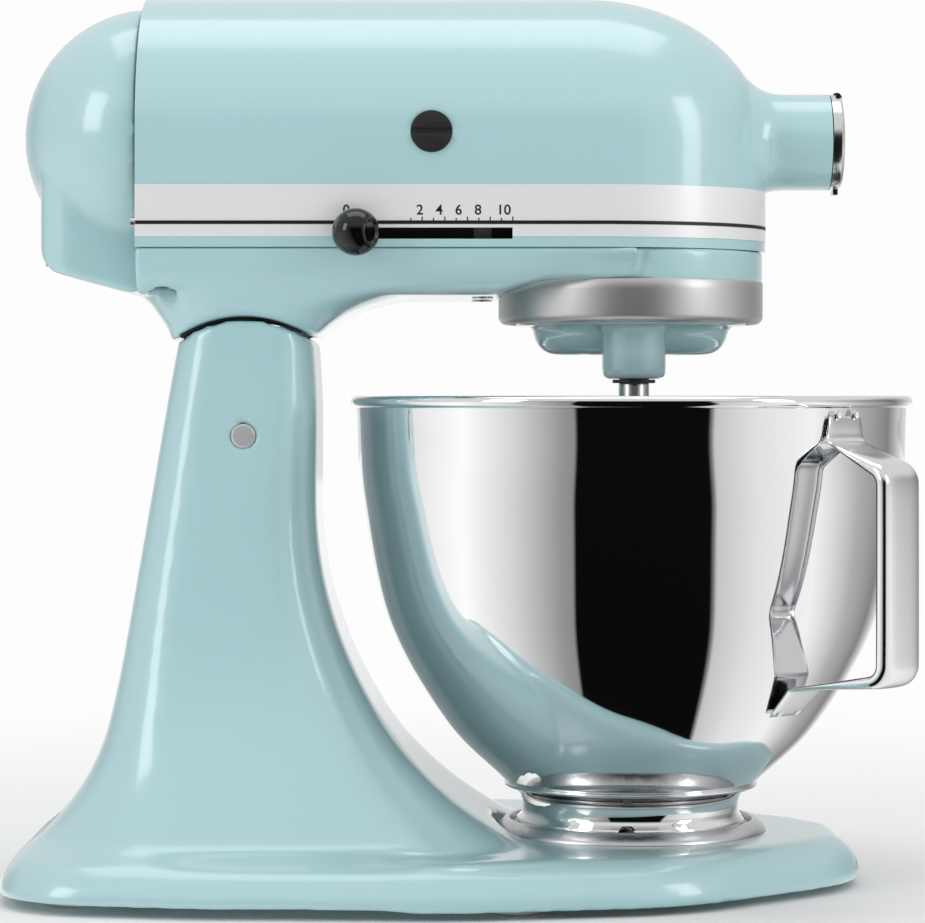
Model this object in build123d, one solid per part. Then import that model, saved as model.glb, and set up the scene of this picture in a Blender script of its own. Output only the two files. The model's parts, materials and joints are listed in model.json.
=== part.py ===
from build123d import *

import math
import os

# Tilt-head stand mixer, in millimetres, +Z up, the head pointing along +X.
# The origin is on the surface that the feet stand on, under the middle of the whole object.

# ---------------------------------------------------------------- driving dimensions
WALL = 3.5                  # wall of the head castings
FIT = 0.05                  # radial clearance of a running fit
GAP = 0.4                   # clearance between pieces that pass each other

# Foot of the pedestal
FOOT_REAR_X = -181.0
FOOT_FRONT_X = 159.0
FOOT_HALF_WIDTH = 111.0
FOOT_BOTTOM_Z = 2.5
PLATFORM_Z = 20.0
FOOT_SHOULDER_R = 9.0
PEDESTAL_WALL = 4.0
RUBBER_FOOT_R = 9.5
RUBBER_FOOT_STEM_R = 3.5
RUBBER_FOOT_STEM_LENGTH = 6.0
FOOT_BOSS_R = 13.0

# Column of the pedestal and the hinge
HINGE_X = -85.7
HINGE_Z = 179.3
HINGE_PIN_R = 4.7
COLUMN_CAP_R = 45.5
COLUMN_HALF_WIDTH = 45.0
NECK_GAP = 1.3
NECK_HALF_WIDTH = 45.0
LUG_THICKNESS = 9.0
LUG_Y = 26.0
LUG_BOSS_R = 12.0
LUG_LEAN_DEG = 24.0
LUG_SPREAD_DEG = 8.0
SET_SCREW_R = 3.0
LOCK_TRAVEL = 18.0
LOCK_Z = 152.0
LOCK_KNOB_R = 8.0
LOCK_KNOB_LENGTH = 12.0
LOCK_STEM_R = 3.2

# Head castings
HEAD_R = 57.5
HEAD_Z = 297.5
HEAD_REAR_X = -127.0
NOSE_START_X = 50.0
NOSE_LENGTH = 72.3
PARTING_Z = 252.7
GEARCASE_BOTTOM_Z = 234.2
GEARCASE_EDGE_R = 12.0
BOSS_R = 53.2
RING_TOP_Z = 240.7
SKIRT_BOTTOM_Z = 226.0
HUB_R = 19.4
HUB_END_X = 148.0
HUB_FILLET_R = 20.0
HUB_BORE_R = 15.0
HUB_SLEEVE_R = 17.0
HUB_SLEEVE_LENGTH = 22.0
HUB_CAP_LENGTH = 5.3
REAR_DOME_R = 52.7
REAR_DOME_X = -124.0
REAR_BLOCK_X = -168.0
REAR_BLOCK_HALF_WIDTH = 35.0
REAR_BLOCK_BOTTOM_Z = 244.0
REAR_BLOCK_CORNER_R = 14.0

# Trim band and speed control
BAND_BOTTOM_Z = 256.6
BAND_TOP_Z = 277.1
BAND_THICKNESS = 0.8
LEVER_X = -41.0
LEVER_Z = 258.0
LEVER_TRAVEL = 57.0
LEVER_THICKNESS = 3.6
LEVER_WIDTH = 6.0
KNOB_R = 9.2
KNOB_PROUD = 10.0

# Brushes and motor
BRUSH_X = -12.0
BRUSH_CAP_R = 8.1
BRUSH_BORE_R = 5.0
BRUSH_CAP_PROUD = 1.4
BRUSH_SLOT_WIDTH = 2.3
COMMUTATOR_R = 13.0
COMMUTATOR_LENGTH = 20.0
CORE_R = 24.0
CORE_LENGTH = 44.0
CORE_X = -56.0
AIR_GAP = 0.6
STATOR_HALF = 40.0
ARMATURE_SHAFT_R = 4.0
BEARING_R = 11.0
BEARING_WIDTH = 7.0
FRONT_BEARING_X = 8.0
REAR_BEARING_X = -108.0
FAN_R = 44.0
FAN_X = -94.0
FAN_BLADES = 12
WORM_R = 8.0
WORM_LENGTH = 24.0

# Gear train
WORM_WHEEL_TEETH = 26
WORM_WHEEL_R = 17.0
WORM_WHEEL_WIDTH = 9.0
TRAIN_MODULE = 1.25
TRAIN_PINION_TEETH = 17
TRAIN_GEAR_TEETH = 51
TRAIN_GEAR_Z = 259.0
TRAIN_GEAR_WIDTH = 8.0
BEVEL_GEAR_R = 26.0
BEVEL_PINION_R = 15.0
BEVEL_FACE = 9.0
GEAR_BACKLASH = 0.35
CENTRE_SHAFT_R = 6.0

# Planetary and beater shaft
PLANET_X = 68.0
PLANET_OFFSET = 27.0
PLANET_MODULE = 1.5
PLANET_PINION_TEETH = 20
RING_GEAR_TEETH = 56
RING_GEAR_BOTTOM_Z = 229.8
RING_GEAR_WIDTH = 7.0
RING_GEAR_R = 48.4
DRIP_RING_R = 53.4
DRIP_RING_BOTTOM_Z = 223.7
DRIP_RING_WALL = 1.2
DRIP_RING_EDGE_R = 3.0
PLANETARY_DISC_R = 47.0
PLANETARY_DISC_TOP_Z = 229.0
LOBE_REACH = 39.3
LOBE_HALF_WIDTH = 20.0
LOBE_BOTTOM_Z = 211.5
LOBE_EDGE_R = 9.5
BEATER_BOSS_R = 12.7
BEATER_BOSS_BOTTOM_Z = 201.6
BEATER_SHAFT_R = 6.35
BEATER_SHAFT_BOTTOM_Z = 166.0
BEATER_SHAFT_RELIEF = 0.3
BEATER_END_LENGTH = 11.4
DRIVE_PIN_R = 2.0
DRIVE_PIN_REACH = 11.0
DRIVE_PIN_Z = 180.0
SHAFT_WASHER_R = 8.5

# Bowl and its clamp plate
BOWL_RIM_R = 113.2
BOWL_RIM_Z = 195.0
BOWL_WALL = 1.2
BOWL_ROLL_R = 2.4
BOWL_FLOOR_Z = 36.0
BOWL_SEAM_R = 50.0
BOWL_SEAM_Z = 39.0
BOWL_FOOT_R = 45.5
BOWL_FOOT_FLARE_R = 51.5
BOWL_TWIST_TABS = 4
PLATE_R = 54.8
PLATE_RING_R = 49.8
PLATE_RING_HEIGHT = 4.6
PLATE_FLOOR = 1.6
HANDLE_AZIMUTH_DEG = -46.0
HANDLE_WIDTH = 21.0
HANDLE_THICKNESS = 2.4
HANDLE_REACH = 140.0
HANDLE_TOP_Z = 166.0
HANDLE_GRIP_BOTTOM_Z = 88.0
HANDLE_UPPER_TAB_Z = 190.0
HANDLE_LOWER_TAB_Z = 70.0
HANDLE_CORNER_R = 9.0


# ---------------------------------------------------------------- small helpers
def rod(radius, start, end):
    """Solid cylinder from one point to another."""
    axis = Vector(*end) - Vector(*start)
    plane = Plane(origin=start, z_dir=axis)
    return plane * Cylinder(radius, axis.length, align=(Align.CENTER, Align.CENTER, Align.MIN))


def tube(outer_r, inner_r, start, end):
    """Hollow cylinder from one point to another."""
    return rod(outer_r, start, end) - rod(inner_r, start, end)


def block(x0, x1, y0, y1, z0, z1):
    """Box between six planes."""
    size = (x1 - x0, y1 - y0, z1 - z0)
    middle = ((x0 + x1) / 2, (y0 + y1) / 2, (z0 + z1) / 2)
    return Pos(*middle) * Box(*size)


def polygon_xz(points, half_width, y=0.0):
    """Solid of an outline in the XZ plane, as wide as twice half_width about y."""
    face = make_face(Polyline(*[(x, 0, z) for x, z in points], close=True))
    return Pos(0, y, 0) * extrude(face, half_width, dir=(0, 1, 0), both=True)


def turned(points, x=0.0):
    """Solid of revolution about a vertical axis at x, from (radius, height) points."""
    face = make_face(Polyline(*[(r, 0, z) for r, z in points], close=True))
    return Pos(x, 0, 0) * revolve(face, Axis.Z)


def turned_about_x(points, z):
    """Solid of revolution about a horizontal axis along X, from (x, radius) points."""
    face = make_face(Polyline(*[(x, 0, r) for x, r in points], close=True))
    return Pos(0, 0, z) * revolve(face, Axis.X)


def screw(radius, start, end, head_r, head_height, recess=True):
    """Screw along a line, its head at the end point, with a cross recess in the head."""
    direction = (Vector(*end) - Vector(*start)).normalized()
    head_top = Vector(*end) + direction * head_height
    body = rod(radius, start, end) + rod(head_r, end, tuple(head_top))
    if recess:
        plane = Plane(origin=tuple(head_top), z_dir=direction)
        arm = plane * Box(head_r * 1.2, head_r * 0.28, head_height)
        body -= arm
        body -= plane * Rot(0, 0, 90) * Box(head_r * 1.2, head_r * 0.28, head_height)
    return body


def gear_outline(teeth, module, addendum=0.8, dedendum=1.1, backlash=0.0, phase_deg=0.0):
    """Closed outline of a spur gear with straight-sided teeth."""
    pitch_r = teeth * module / 2
    root_r = pitch_r - dedendum * module
    tip_r = pitch_r + addendum * module
    step = 2 * math.pi / teeth
    slope = math.tan(math.radians(20))
    half_pitch = math.pi * module / 4 - backlash / 2
    half_root = (half_pitch + dedendum * module * slope) / root_r
    half_tip = (half_pitch - addendum * module * slope) / tip_r
    points = []
    for tooth in range(teeth):
        middle = tooth * step + math.radians(phase_deg)
        for radius, angle in (
            (root_r, middle - half_root),
            (tip_r, middle - half_tip),
            (tip_r, middle + half_tip),
            (root_r, middle + half_root),
        ):
            points.append((radius * math.cos(angle), radius * math.sin(angle)))
    return make_face(Polyline(*points, close=True))


def spur_gear(teeth, module, at, width, bore_r, backlash=GEAR_BACKLASH, phase_deg=0.0):
    """Spur gear standing on a point, with a bore."""
    face = gear_outline(teeth, module, backlash=backlash, phase_deg=phase_deg)
    return Pos(*at) * (extrude(face, width) - Cylinder(bore_r, 4 * width))


def save(name, *shapes):
    """Write one node, a single solid or a group of solids, as a STEP file."""
    solids = [solid for shape in shapes for solid in shape.solids()]
    export_step(Compound(children=solids), f"parts/{name}.step")


os.makedirs("parts", exist_ok=True)


# ---------------------------------------------------------------- pedestal
def foot_outline(inset):
    """Plan outline of the foot: a straight rear, bowed sides and a round front."""
    side = FOOT_HALF_WIDTH + 1.0
    line = FilletPolyline(
        (FOOT_REAR_X, 0),
        (FOOT_REAR_X, side - 16.0),
        (FOOT_REAR_X + 66.0, side - 4.0),
        (0, side),
        (84.0, side - 15.0),
        (FOOT_FRONT_X - 12.0, side - 68.0),
        (FOOT_FRONT_X, side - 90.0),
        (FOOT_FRONT_X, 0),
        radius=[32.0, 240.0, 200.0, 90.0, 55.0, 50.0],
    )
    outline = make_face([*line.edges(), *mirror(line, about=Plane.XZ).edges()])
    return offset(outline, amount=-inset) if inset else outline


def column_section(z, rear, front, half_width, corner_r, inset):
    """One level of the column, a rounded rectangle."""
    length = front - rear - 2 * inset
    radius = max(corner_r - inset, 2.0)
    middle = (front + rear) / 2
    return Pos(middle, 0, z) * RectangleRounded(length, 2 * (half_width - inset), radius)


# height, rear x, front x, half width and corner radius of the column's levels
COLUMN_LEVELS = (
    (232.0, HINGE_X - 25.0, HINGE_X + 27.5, COLUMN_HALF_WIDTH - 1.0, 16.0),
    (200.0, HINGE_X - 29.8, HINGE_X + 27.7, COLUMN_HALF_WIDTH, 17.0),
    (160.0, HINGE_X - 36.6, HINGE_X + 27.9, COLUMN_HALF_WIDTH + 3.0, 19.0),
    (115.0, HINGE_X - 44.3, HINGE_X + 33.0, COLUMN_HALF_WIDTH + 8.0, 22.0),
    (76.0, HINGE_X - 51.3, HINGE_X + 49.0, COLUMN_HALF_WIDTH + 16.0, 27.0),
    (52.0, HINGE_X - 58.8, HINGE_X + 66.0, COLUMN_HALF_WIDTH + 25.0, 33.0),
    (34.0, HINGE_X - 70.0, HINGE_X + 86.0, COLUMN_HALF_WIDTH + 35.0, 40.0),
    (PLATFORM_Z - 6.0, HINGE_X - 87.0, HINGE_X + 118.0, COLUMN_HALF_WIDTH + 46.0, 48.0),
)


def column(inset):
    """Column, flaring from the hinge down into the foot."""
    return loft([column_section(*level, inset) for level in COLUMN_LEVELS])


def hinge_rod(radius, half_length):
    """Cylinder about the hinge axis."""
    return rod(radius, (HINGE_X, -half_length, HINGE_Z), (HINGE_X, half_length, HINGE_Z))


def foot_block():
    """Foot with a rounded shoulder, lofted through outlines that draw in towards the top."""
    shoulder_z = PLATFORM_Z - FOOT_SHOULDER_R
    levels = [(FOOT_BOTTOM_Z, 0.0), ((FOOT_BOTTOM_Z + shoulder_z) / 2, 0.0)]
    for turn_deg in (0, 30, 60, 90):
        turn = math.radians(turn_deg)
        inset = FOOT_SHOULDER_R * (1 - math.cos(turn))
        levels.append((shoulder_z + FOOT_SHOULDER_R * math.sin(turn), inset))
    return loft([Pos(0, 0, z) * foot_outline(inset) for z, inset in levels])


outer = foot_block() + column(0.0)
above_hinge = block(-200, 20, -80, 80, HINGE_Z + 25, 260)
outer -= above_hinge - hinge_rod(COLUMN_CAP_R, 90)

hollow_top = PLATFORM_Z - PEDESTAL_WALL
hollow = Pos(0, 0, FOOT_BOTTOM_Z - 1) * extrude(foot_outline(PEDESTAL_WALL), hollow_top - FOOT_BOTTOM_Z + 1)
hollow += column(PEDESTAL_WALL)
plate_z = PLATFORM_Z
pedestal = outer - hollow - rod(PLATE_R + GAP, (PLANET_X, 0, plate_z), (PLANET_X, 0, plate_z + 30))

foot_spots = [(-150.0, -68.0), (-150.0, 68.0), (20.0, -88.0), (20.0, 88.0), (132.0, 0.0)]
for x, y in foot_spots:
    pedestal += rod(FOOT_BOSS_R, (x, y, FOOT_BOTTOM_Z + 1.5), (x, y, PLATFORM_Z - 2))
for x, y in foot_spots:
    stem_top = 4.0 + RUBBER_FOOT_STEM_LENGTH
    pedestal -= rod(RUBBER_FOOT_R, (x, y, 0), (x, y, 4.0))
    pedestal -= rod(RUBBER_FOOT_STEM_R, (x, y, 3.0), (x, y, stem_top))

# Hinge pin bosses inside the cheeks, the pin's bore and the set screw's hole in the rear wall
LUG_OUTER_Y = LUG_Y + LUG_THICKNESS / 2
for side in (-1, 1):
    inner_y = side * (LUG_OUTER_Y + GAP)
    outer_y = side * (COLUMN_HALF_WIDTH - 1.0)
    pedestal += rod(LUG_BOSS_R, (HINGE_X, inner_y, HINGE_Z), (HINGE_X, outer_y, HINGE_Z))
pedestal -= hinge_rod(HINGE_PIN_R + FIT, 90)

# Slot for the lock lever in the cheek on the +Y side
lock_x0 = HINGE_X - 4.0
slot_reach = LOCK_STEM_R + GAP
lock_slot = block(lock_x0, lock_x0 + LOCK_TRAVEL, 20, 80, LOCK_Z - slot_reach, LOCK_Z + slot_reach)
lock_slot += rod(slot_reach, (lock_x0, 20, LOCK_Z), (lock_x0, 80, LOCK_Z))
lock_slot += rod(slot_reach, (lock_x0 + LOCK_TRAVEL, 20, LOCK_Z), (lock_x0 + LOCK_TRAVEL, 80, LOCK_Z))
pedestal -= lock_slot

# Screw holes of the clamp plate
plate_screw_r = 2.0
plate_screw_circle_r = 38.0
plate_screw_angles = [45, 135, 225, 315]
for angle in plate_screw_angles:
    x = PLANET_X + plate_screw_circle_r * math.cos(math.radians(angle))
    y = plate_screw_circle_r * math.sin(math.radians(angle))
    pedestal -= rod(plate_screw_r, (x, y, 0), (x, y, plate_z + 1))

# Set screw that holds the hinge pin, in a boss behind the pin
set_screw_y = LUG_OUTER_Y + 6.0
pedestal -= rod(SET_SCREW_R, (HINGE_X - 50, set_screw_y, HINGE_Z), (HINGE_X - HINGE_PIN_R, set_screw_y, HINGE_Z))
save("pedestal", pedestal)

feet = []
for x, y in foot_spots:
    pad = rod(RUBBER_FOOT_R, (x, y, 0), (x, y, 4.0))
    pad = fillet(pad.edges().group_by(Axis.Z)[0], 1.2)
    feet.append(pad + rod(RUBBER_FOOT_STEM_R, (x, y, 4.0), (x, y, 4.0 + RUBBER_FOOT_STEM_LENGTH)))
save("rubber_feet", *feet)

pin_half = COLUMN_HALF_WIDTH + 2.2
hinge_pin = hinge_rod(HINGE_PIN_R, pin_half)
hinge_pin = chamfer(hinge_pin.edges(), 0.6)
hinge_pin -= rod(2.0, (HINGE_X - 6, set_screw_y, HINGE_Z), (HINGE_X - HINGE_PIN_R + 1.2, set_screw_y, HINGE_Z))
save("hinge_pin", hinge_pin)

set_screw = rod(
    SET_SCREW_R,
    (HINGE_X - 22.0, set_screw_y, HINGE_Z),
    (HINGE_X - HINGE_PIN_R, set_screw_y, HINGE_Z),
)
set_screw -= rod(1.2, (HINGE_X - 22.0, set_screw_y, HINGE_Z), (HINGE_X - 18.0, set_screw_y, HINGE_Z))
save("hinge_pin_set_screw", set_screw)

# Clamp plate: a dish with a bevelled ring, and two slots at the inner edge for the foot's tabs
plate = turned(
    [
        (12.0, plate_z),
        (PLATE_R, plate_z),
        (PLATE_R - 0.8, plate_z + 1.6),
        (PLATE_RING_R + 0.8, plate_z + PLATE_RING_HEIGHT),
        (PLATE_RING_R - 0.8, plate_z + PLATE_RING_HEIGHT),
        (PLATE_RING_R - 1.4, plate_z + PLATE_FLOOR),
        (12.0, plate_z + PLATE_FLOOR),
    ],
    PLANET_X,
)
plate_screws = []
for angle in plate_screw_angles:
    x = PLANET_X + plate_screw_circle_r * math.cos(math.radians(angle))
    y = plate_screw_circle_r * math.sin(math.radians(angle))
    plate -= rod(plate_screw_r, (x, y, plate_z), (x, y, plate_z + PLATE_FLOOR))
    seat = plate_z + PLATE_FLOOR
    plate_screws.append(screw(plate_screw_r, (x, y, plate_z - 10), (x, y, seat), 3.6, 1.6))
save("bowl_clamp_plate", plate)
save("clamp_plate_screws", *plate_screws)

# Head lock lever: a stem through the slot, a slide plate inside and a knob outside
cheek_y = COLUMN_HALF_WIDTH + 3.6
lock_plate_y = COLUMN_HALF_WIDTH - PEDESTAL_WALL - 3.6
lever_lock = rod(LOCK_STEM_R, (lock_x0, lock_plate_y, LOCK_Z), (lock_x0, cheek_y + 6, LOCK_Z))
lever_lock += block(lock_x0 - 6, lock_x0 + 6, lock_plate_y - 3, lock_plate_y, LOCK_Z - 7, LOCK_Z + 7)
save("head_lock_lever", lever_lock)
lock_knob = rod(LOCK_KNOB_R, (lock_x0, cheek_y + 6, LOCK_Z), (lock_x0, cheek_y + 6 + LOCK_KNOB_LENGTH, LOCK_Z))
lock_knob = fillet(lock_knob.edges(), 3.0)
save("head_lock_knob", lock_knob)


# ---------------------------------------------------------------- head castings
def head_profile(inset):
    """Half outline of the head seen from above or from the side: straight, then a half ellipse."""
    radius = HEAD_R - inset
    length = NOSE_LENGTH - inset
    nose = EllipticalCenterArc((NOSE_START_X, 0), length, radius, start_angle=0, arc_size=90)
    lines = [
        Line((HEAD_REAR_X, 0), (HEAD_REAR_X, radius)),
        Line((HEAD_REAR_X, radius), (NOSE_START_X, radius)),
        nose,
        Line((NOSE_START_X + length, 0), (HEAD_REAR_X, 0)),
    ]
    return make_face(lines)


def head_plan(inset, z0, z1):
    """Vertical-sided solid on the head's plan outline."""
    half = head_profile(inset)
    slab = extrude(half + mirror(half, about=Plane.XZ), z1 - z0)
    return Pos(0, 0, z0) * slab


def head_body(inset, bottom_z):
    """Round-topped body with vertical sides."""
    dome = Pos(0, 0, HEAD_Z) * revolve(head_profile(inset), Axis.X)
    upper = dome & block(-300, 300, -100, 100, HEAD_Z, HEAD_Z + 100)
    return upper + head_plan(inset, bottom_z, HEAD_Z)



def hub_profile():
    """Half outline of the nose and the attachment hub, joined by a fillet tangent to both."""
    low, high = math.radians(2), math.radians(80)
    for _ in range(50):
        angle = (low + high) / 2
        x = NOSE_START_X + NOSE_LENGTH * math.cos(angle)
        r = HEAD_R * math.sin(angle)
        normal = Vector(HEAD_R * math.cos(angle), NOSE_LENGTH * math.sin(angle)).normalized()
        if r + HUB_FILLET_R * normal.Y < HUB_R + HUB_FILLET_R:
            low = angle
        else:
            high = angle
    centre = Vector(x, r) + normal * HUB_FILLET_R
    turn = math.atan2(normal.X, normal.Y) / 2
    middle = centre + Vector(-math.sin(turn), -math.cos(turn)) * HUB_FILLET_R
    nose = EllipticalCenterArc(
        (NOSE_START_X, 0), NOSE_LENGTH, HEAD_R, start_angle=math.degrees(angle), arc_size=90 - math.degrees(angle)
    )
    fillet_arc = ThreePointArc((x, r), (middle.X, middle.Y), (centre.X, HUB_R))
    outline = Polyline(
        (centre.X, HUB_R), (HUB_END_X, HUB_R), (HUB_END_X, 0), (HEAD_REAR_X, 0),
        (HEAD_REAR_X, HEAD_R), (NOSE_START_X, HEAD_R),
    )
    return make_face([nose, fillet_arc, outline])


# Upper housing: dome, vertical sides and the hub's barrel in one casting
dome = Pos(0, 0, HEAD_Z) * revolve(hub_profile(), Axis.X)
upper_half = block(-300, 300, -100, 100, HEAD_Z, HEAD_Z + 100)
barrel = rod(HUB_R, (NOSE_START_X, 0, HEAD_Z), (HUB_END_X, 0, HEAD_Z))
housing = (dome & upper_half) + head_plan(0.0, PARTING_Z, HEAD_Z) + barrel
housing -= head_body(WALL, PARTING_Z - 1)
hub_inner_x = 100.0
housing += tube(HUB_SLEEVE_R + WALL, HUB_SLEEVE_R, (hub_inner_x, 0, HEAD_Z), (HUB_END_X - 25, 0, HEAD_Z))
housing -= rod(HUB_SLEEVE_R, (hub_inner_x, 0, HEAD_Z), (HUB_END_X + 1, 0, HEAD_Z))

band_clear = head_plan(-5.0, BAND_BOTTOM_Z, BAND_TOP_Z) - head_plan(BAND_THICKNESS, BAND_BOTTOM_Z, BAND_TOP_Z)
housing -= band_clear

lever_reach = LEVER_WIDTH / 2 + GAP
slot_half_height = LEVER_THICKNESS / 2 + GAP
speed_slot = block(
    LEVER_X - lever_reach,
    LEVER_X + LEVER_TRAVEL + lever_reach,
    -HEAD_R - 2,
    -HEAD_R + WALL + 2,
    LEVER_Z - slot_half_height,
    LEVER_Z + slot_half_height,
)
housing -= speed_slot

BRUSH_HOLDER_R = BRUSH_BORE_R + 2.0
cap_seat_y = HEAD_R - 1.6
for side in (-1, 1):
    housing -= rod(BRUSH_HOLDER_R, (BRUSH_X, side * 40, HEAD_Z), (BRUSH_X, side * 70, HEAD_Z))
    housing -= rod(BRUSH_CAP_R + 0.1, (BRUSH_X, side * cap_seat_y, HEAD_Z), (BRUSH_X, side * 70, HEAD_Z))

# Bosses inside the housing for the two rear gearcase screws
SCREW_R = 2.0
REAR_SCREW_X = -117.0
rear_screw_y = HEAD_R - WALL - 7.0
rear_screw_top_z = PARTING_Z + 8.0
for side in (-1, 1):
    wall_y = side * (HEAD_R - WALL + 0.5)
    y0, y1 = sorted((side * (rear_screw_y - 5), wall_y))
    housing += block(REAR_SCREW_X - 5, REAR_SCREW_X + 5, y0, y1, PARTING_Z, PARTING_Z + 11)
    start = (REAR_SCREW_X, side * rear_screw_y, PARTING_Z - 1)
    housing -= rod(SCREW_R, start, (REAR_SCREW_X, side * rear_screw_y, rear_screw_top_z))

# Holes for the screws at the rear ends of the trim band
band_screw_y = HEAD_R - WALL / 2
band_screw_z = BAND_BOTTOM_Z + 5.4
BAND_SCREW_R = 0.9
for side in (-1, 1):
    spot = (side * band_screw_y, band_screw_z)
    housing -= rod(BAND_SCREW_R, (HEAD_REAR_X, *spot), (HEAD_REAR_X + 8, *spot))

# Thumbscrew hole in the side of the hub, and a notch for the cover's knuckle
THUMB_X = HUB_END_X - 13.0
THUMB_R = 3.0
thumb_hole = rod(THUMB_R + FIT, (THUMB_X, 5, HEAD_Z), (THUMB_X, 40, HEAD_Z))
housing -= thumb_hole
HUB_PIN_X = HUB_END_X + 3.2
HUB_PIN_Z = HEAD_Z + HUB_R - 1.5
knuckle_half = 4.0
save("upper_housing", housing)

trim_band = head_plan(-0.2, BAND_BOTTOM_Z + 0.05, BAND_TOP_Z - 0.05)
trim_band -= head_plan(BAND_THICKNESS, BAND_BOTTOM_Z, BAND_TOP_Z)
trim_band -= speed_slot
save("trim_band", trim_band)

band_screws = []
for side in (-1, 1):
    spot = (side * band_screw_y, band_screw_z)
    band_screws.append(screw(BAND_SCREW_R, (HEAD_REAR_X + 7, *spot), (HEAD_REAR_X, *spot), 2.2, 1.6))
save("trim_band_screws", *band_screws)

# Lower gearcase: tray, round boss, skirt round the planetary, neck and hinge lugs
tray_half = HEAD_R - 0.6
tray_section = Plane.YZ * Pos(0, (GEARCASE_BOTTOM_Z + PARTING_Z) / 2) * Rectangle(
    2 * tray_half, PARTING_Z - GEARCASE_BOTTOM_Z
)
tray_bar = Pos(HEAD_REAR_X, 0, 0) * extrude(tray_section, PLANET_X - HEAD_REAR_X)
low_edges = tray_bar.edges().filter_by(Axis.X).group_by(Axis.Z)[0]
tray_bar = fillet(low_edges, GEARCASE_EDGE_R)
ring_relief = polygon_xz(
    [
        (PLANET_X - DRIP_RING_R - 2.0, DRIP_RING_BOTTOM_Z - 8),
        (PLANET_X - DRIP_RING_R - 0.8, GEARCASE_BOTTOM_Z + 0.6),
        (PLANET_X - DRIP_RING_R + 7.0, GEARCASE_BOTTOM_Z + 3.2),
        (PLANET_X - DRIP_RING_R + 15.0, RING_TOP_Z - 0.6),
        (PLANET_X - DRIP_RING_R + 22.0, RING_TOP_Z),
        (PLANET_X + 80, RING_TOP_Z),
        (PLANET_X + 80, DRIP_RING_BOTTOM_Z - 8),
    ],
    90,
)
tray_bar -= ring_relief
skirt_r = DRIP_RING_R - DRIP_RING_WALL
tray_bar -= tube(DRIP_RING_R + GAP, skirt_r, (PLANET_X, 0, SKIRT_BOTTOM_Z - 4), (PLANET_X, 0, RING_TOP_Z))
floor_z = RING_GEAR_BOTTOM_Z + RING_GEAR_WIDTH + 1.7
gearcase = tray_bar + rod(BOSS_R, (PLANET_X, 0, RING_TOP_Z), (PLANET_X, 0, PARTING_Z))
gearcase += rod(skirt_r, (PLANET_X, 0, SKIRT_BOTTOM_Z), (PLANET_X, 0, RING_TOP_Z + 1))

NECK_LEVELS = (
    (212.0, HINGE_X - 28.2, HINGE_X + 25.0, 16.0),
    (218.0, HINGE_X - 29.6, HINGE_X + 26.8, 16.0),
    (224.0, HINGE_X - 32.0, HINGE_X + 34.5, 17.0),
    (229.5, HINGE_X - 36.0, HINGE_X + 42.0, 19.0),
    (236.0, HINGE_X - 47.0, HINGE_X + 56.0, 22.0),
)
neck = loft(
    [column_section(z, rear, front, NECK_HALF_WIDTH, corner, 0.0) for z, rear, front, corner in NECK_LEVELS]
)
neck &= block(HEAD_REAR_X, 100, -60, 60, 200, 240)
gearcase += neck
gearcase -= hinge_rod(COLUMN_CAP_R + NECK_GAP, 90)

cavity = head_plan(WALL, GEARCASE_BOTTOM_Z + WALL, PARTING_Z + 1)
cavity &= block(HEAD_REAR_X + WALL, PLANET_X - skirt_r - 1, -100, 100, 200, 300)
cavity = cavity & block(-300, 300, -(tray_half - GEARCASE_EDGE_R / 2), tray_half - GEARCASE_EDGE_R / 2, 200, 300)
gearcase -= cavity
gearcase -= rod(BOSS_R - WALL, (PLANET_X, 0, floor_z + WALL), (PLANET_X, 0, PARTING_Z + 1))
gearcase -= rod(RING_GEAR_R, (PLANET_X, 0, SKIRT_BOTTOM_Z - 1), (PLANET_X, 0, floor_z))

lean = math.radians(LUG_LEAN_DEG)
spread = math.radians(LUG_SPREAD_DEG / 2)
arm_r = COLUMN_CAP_R + NECK_GAP + 2.5


def hinge_point(radius, angle):
    """Point at a radius from the hinge, at an angle from vertical towards the front."""
    return (HINGE_X + radius * math.sin(angle), HINGE_Z + radius * math.cos(angle))


lug_outline = [
    hinge_point(LUG_BOSS_R * 0.7, lean - math.radians(70)),
    hinge_point(arm_r, lean - spread),
    hinge_point(arm_r, lean + spread),
    hinge_point(LUG_BOSS_R * 0.7, lean + math.radians(70)),
]
for side in (-1, 1):
    lug = polygon_xz(lug_outline, LUG_THICKNESS / 2, side * LUG_Y)
    ends = [side * LUG_Y - LUG_THICKNESS / 2, side * LUG_Y + LUG_THICKNESS / 2]
    lug += rod(LUG_BOSS_R, (HINGE_X, ends[0], HINGE_Z), (HINGE_X, ends[1], HINGE_Z))
    gearcase += lug
gearcase -= hinge_rod(HINGE_PIN_R + FIT, 60)

rear_pocket_z = PARTING_Z - 13.0
for side in (-1, 1):
    x, y = REAR_SCREW_X, side * rear_screw_y
    gearcase += rod(6.5, (x, y, rear_pocket_z + 1), (x, y, PARTING_Z))
    gearcase -= rod(5.2, (x, y, 200), (x, y, rear_pocket_z))
    gearcase -= rod(SCREW_R, (x, y, 200), (x, y, PARTING_Z + 1))
BRACKET_X = FRONT_BEARING_X
front_screw_y = 22.0
for side in (-1, 1):
    x, y = BRACKET_X, side * front_screw_y
    gearcase += rod(5.5, (x, y, GEARCASE_BOTTOM_Z + 1), (x, y, PARTING_Z))
    gearcase -= rod(SCREW_R, (x, y, 200), (x, y, PARTING_Z + 1))

bush_r = 12.0
gearcase -= rod(bush_r, (PLANET_X, 0, 200), (PLANET_X, 0, 260))
save("lower_gearcase", gearcase)

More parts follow.
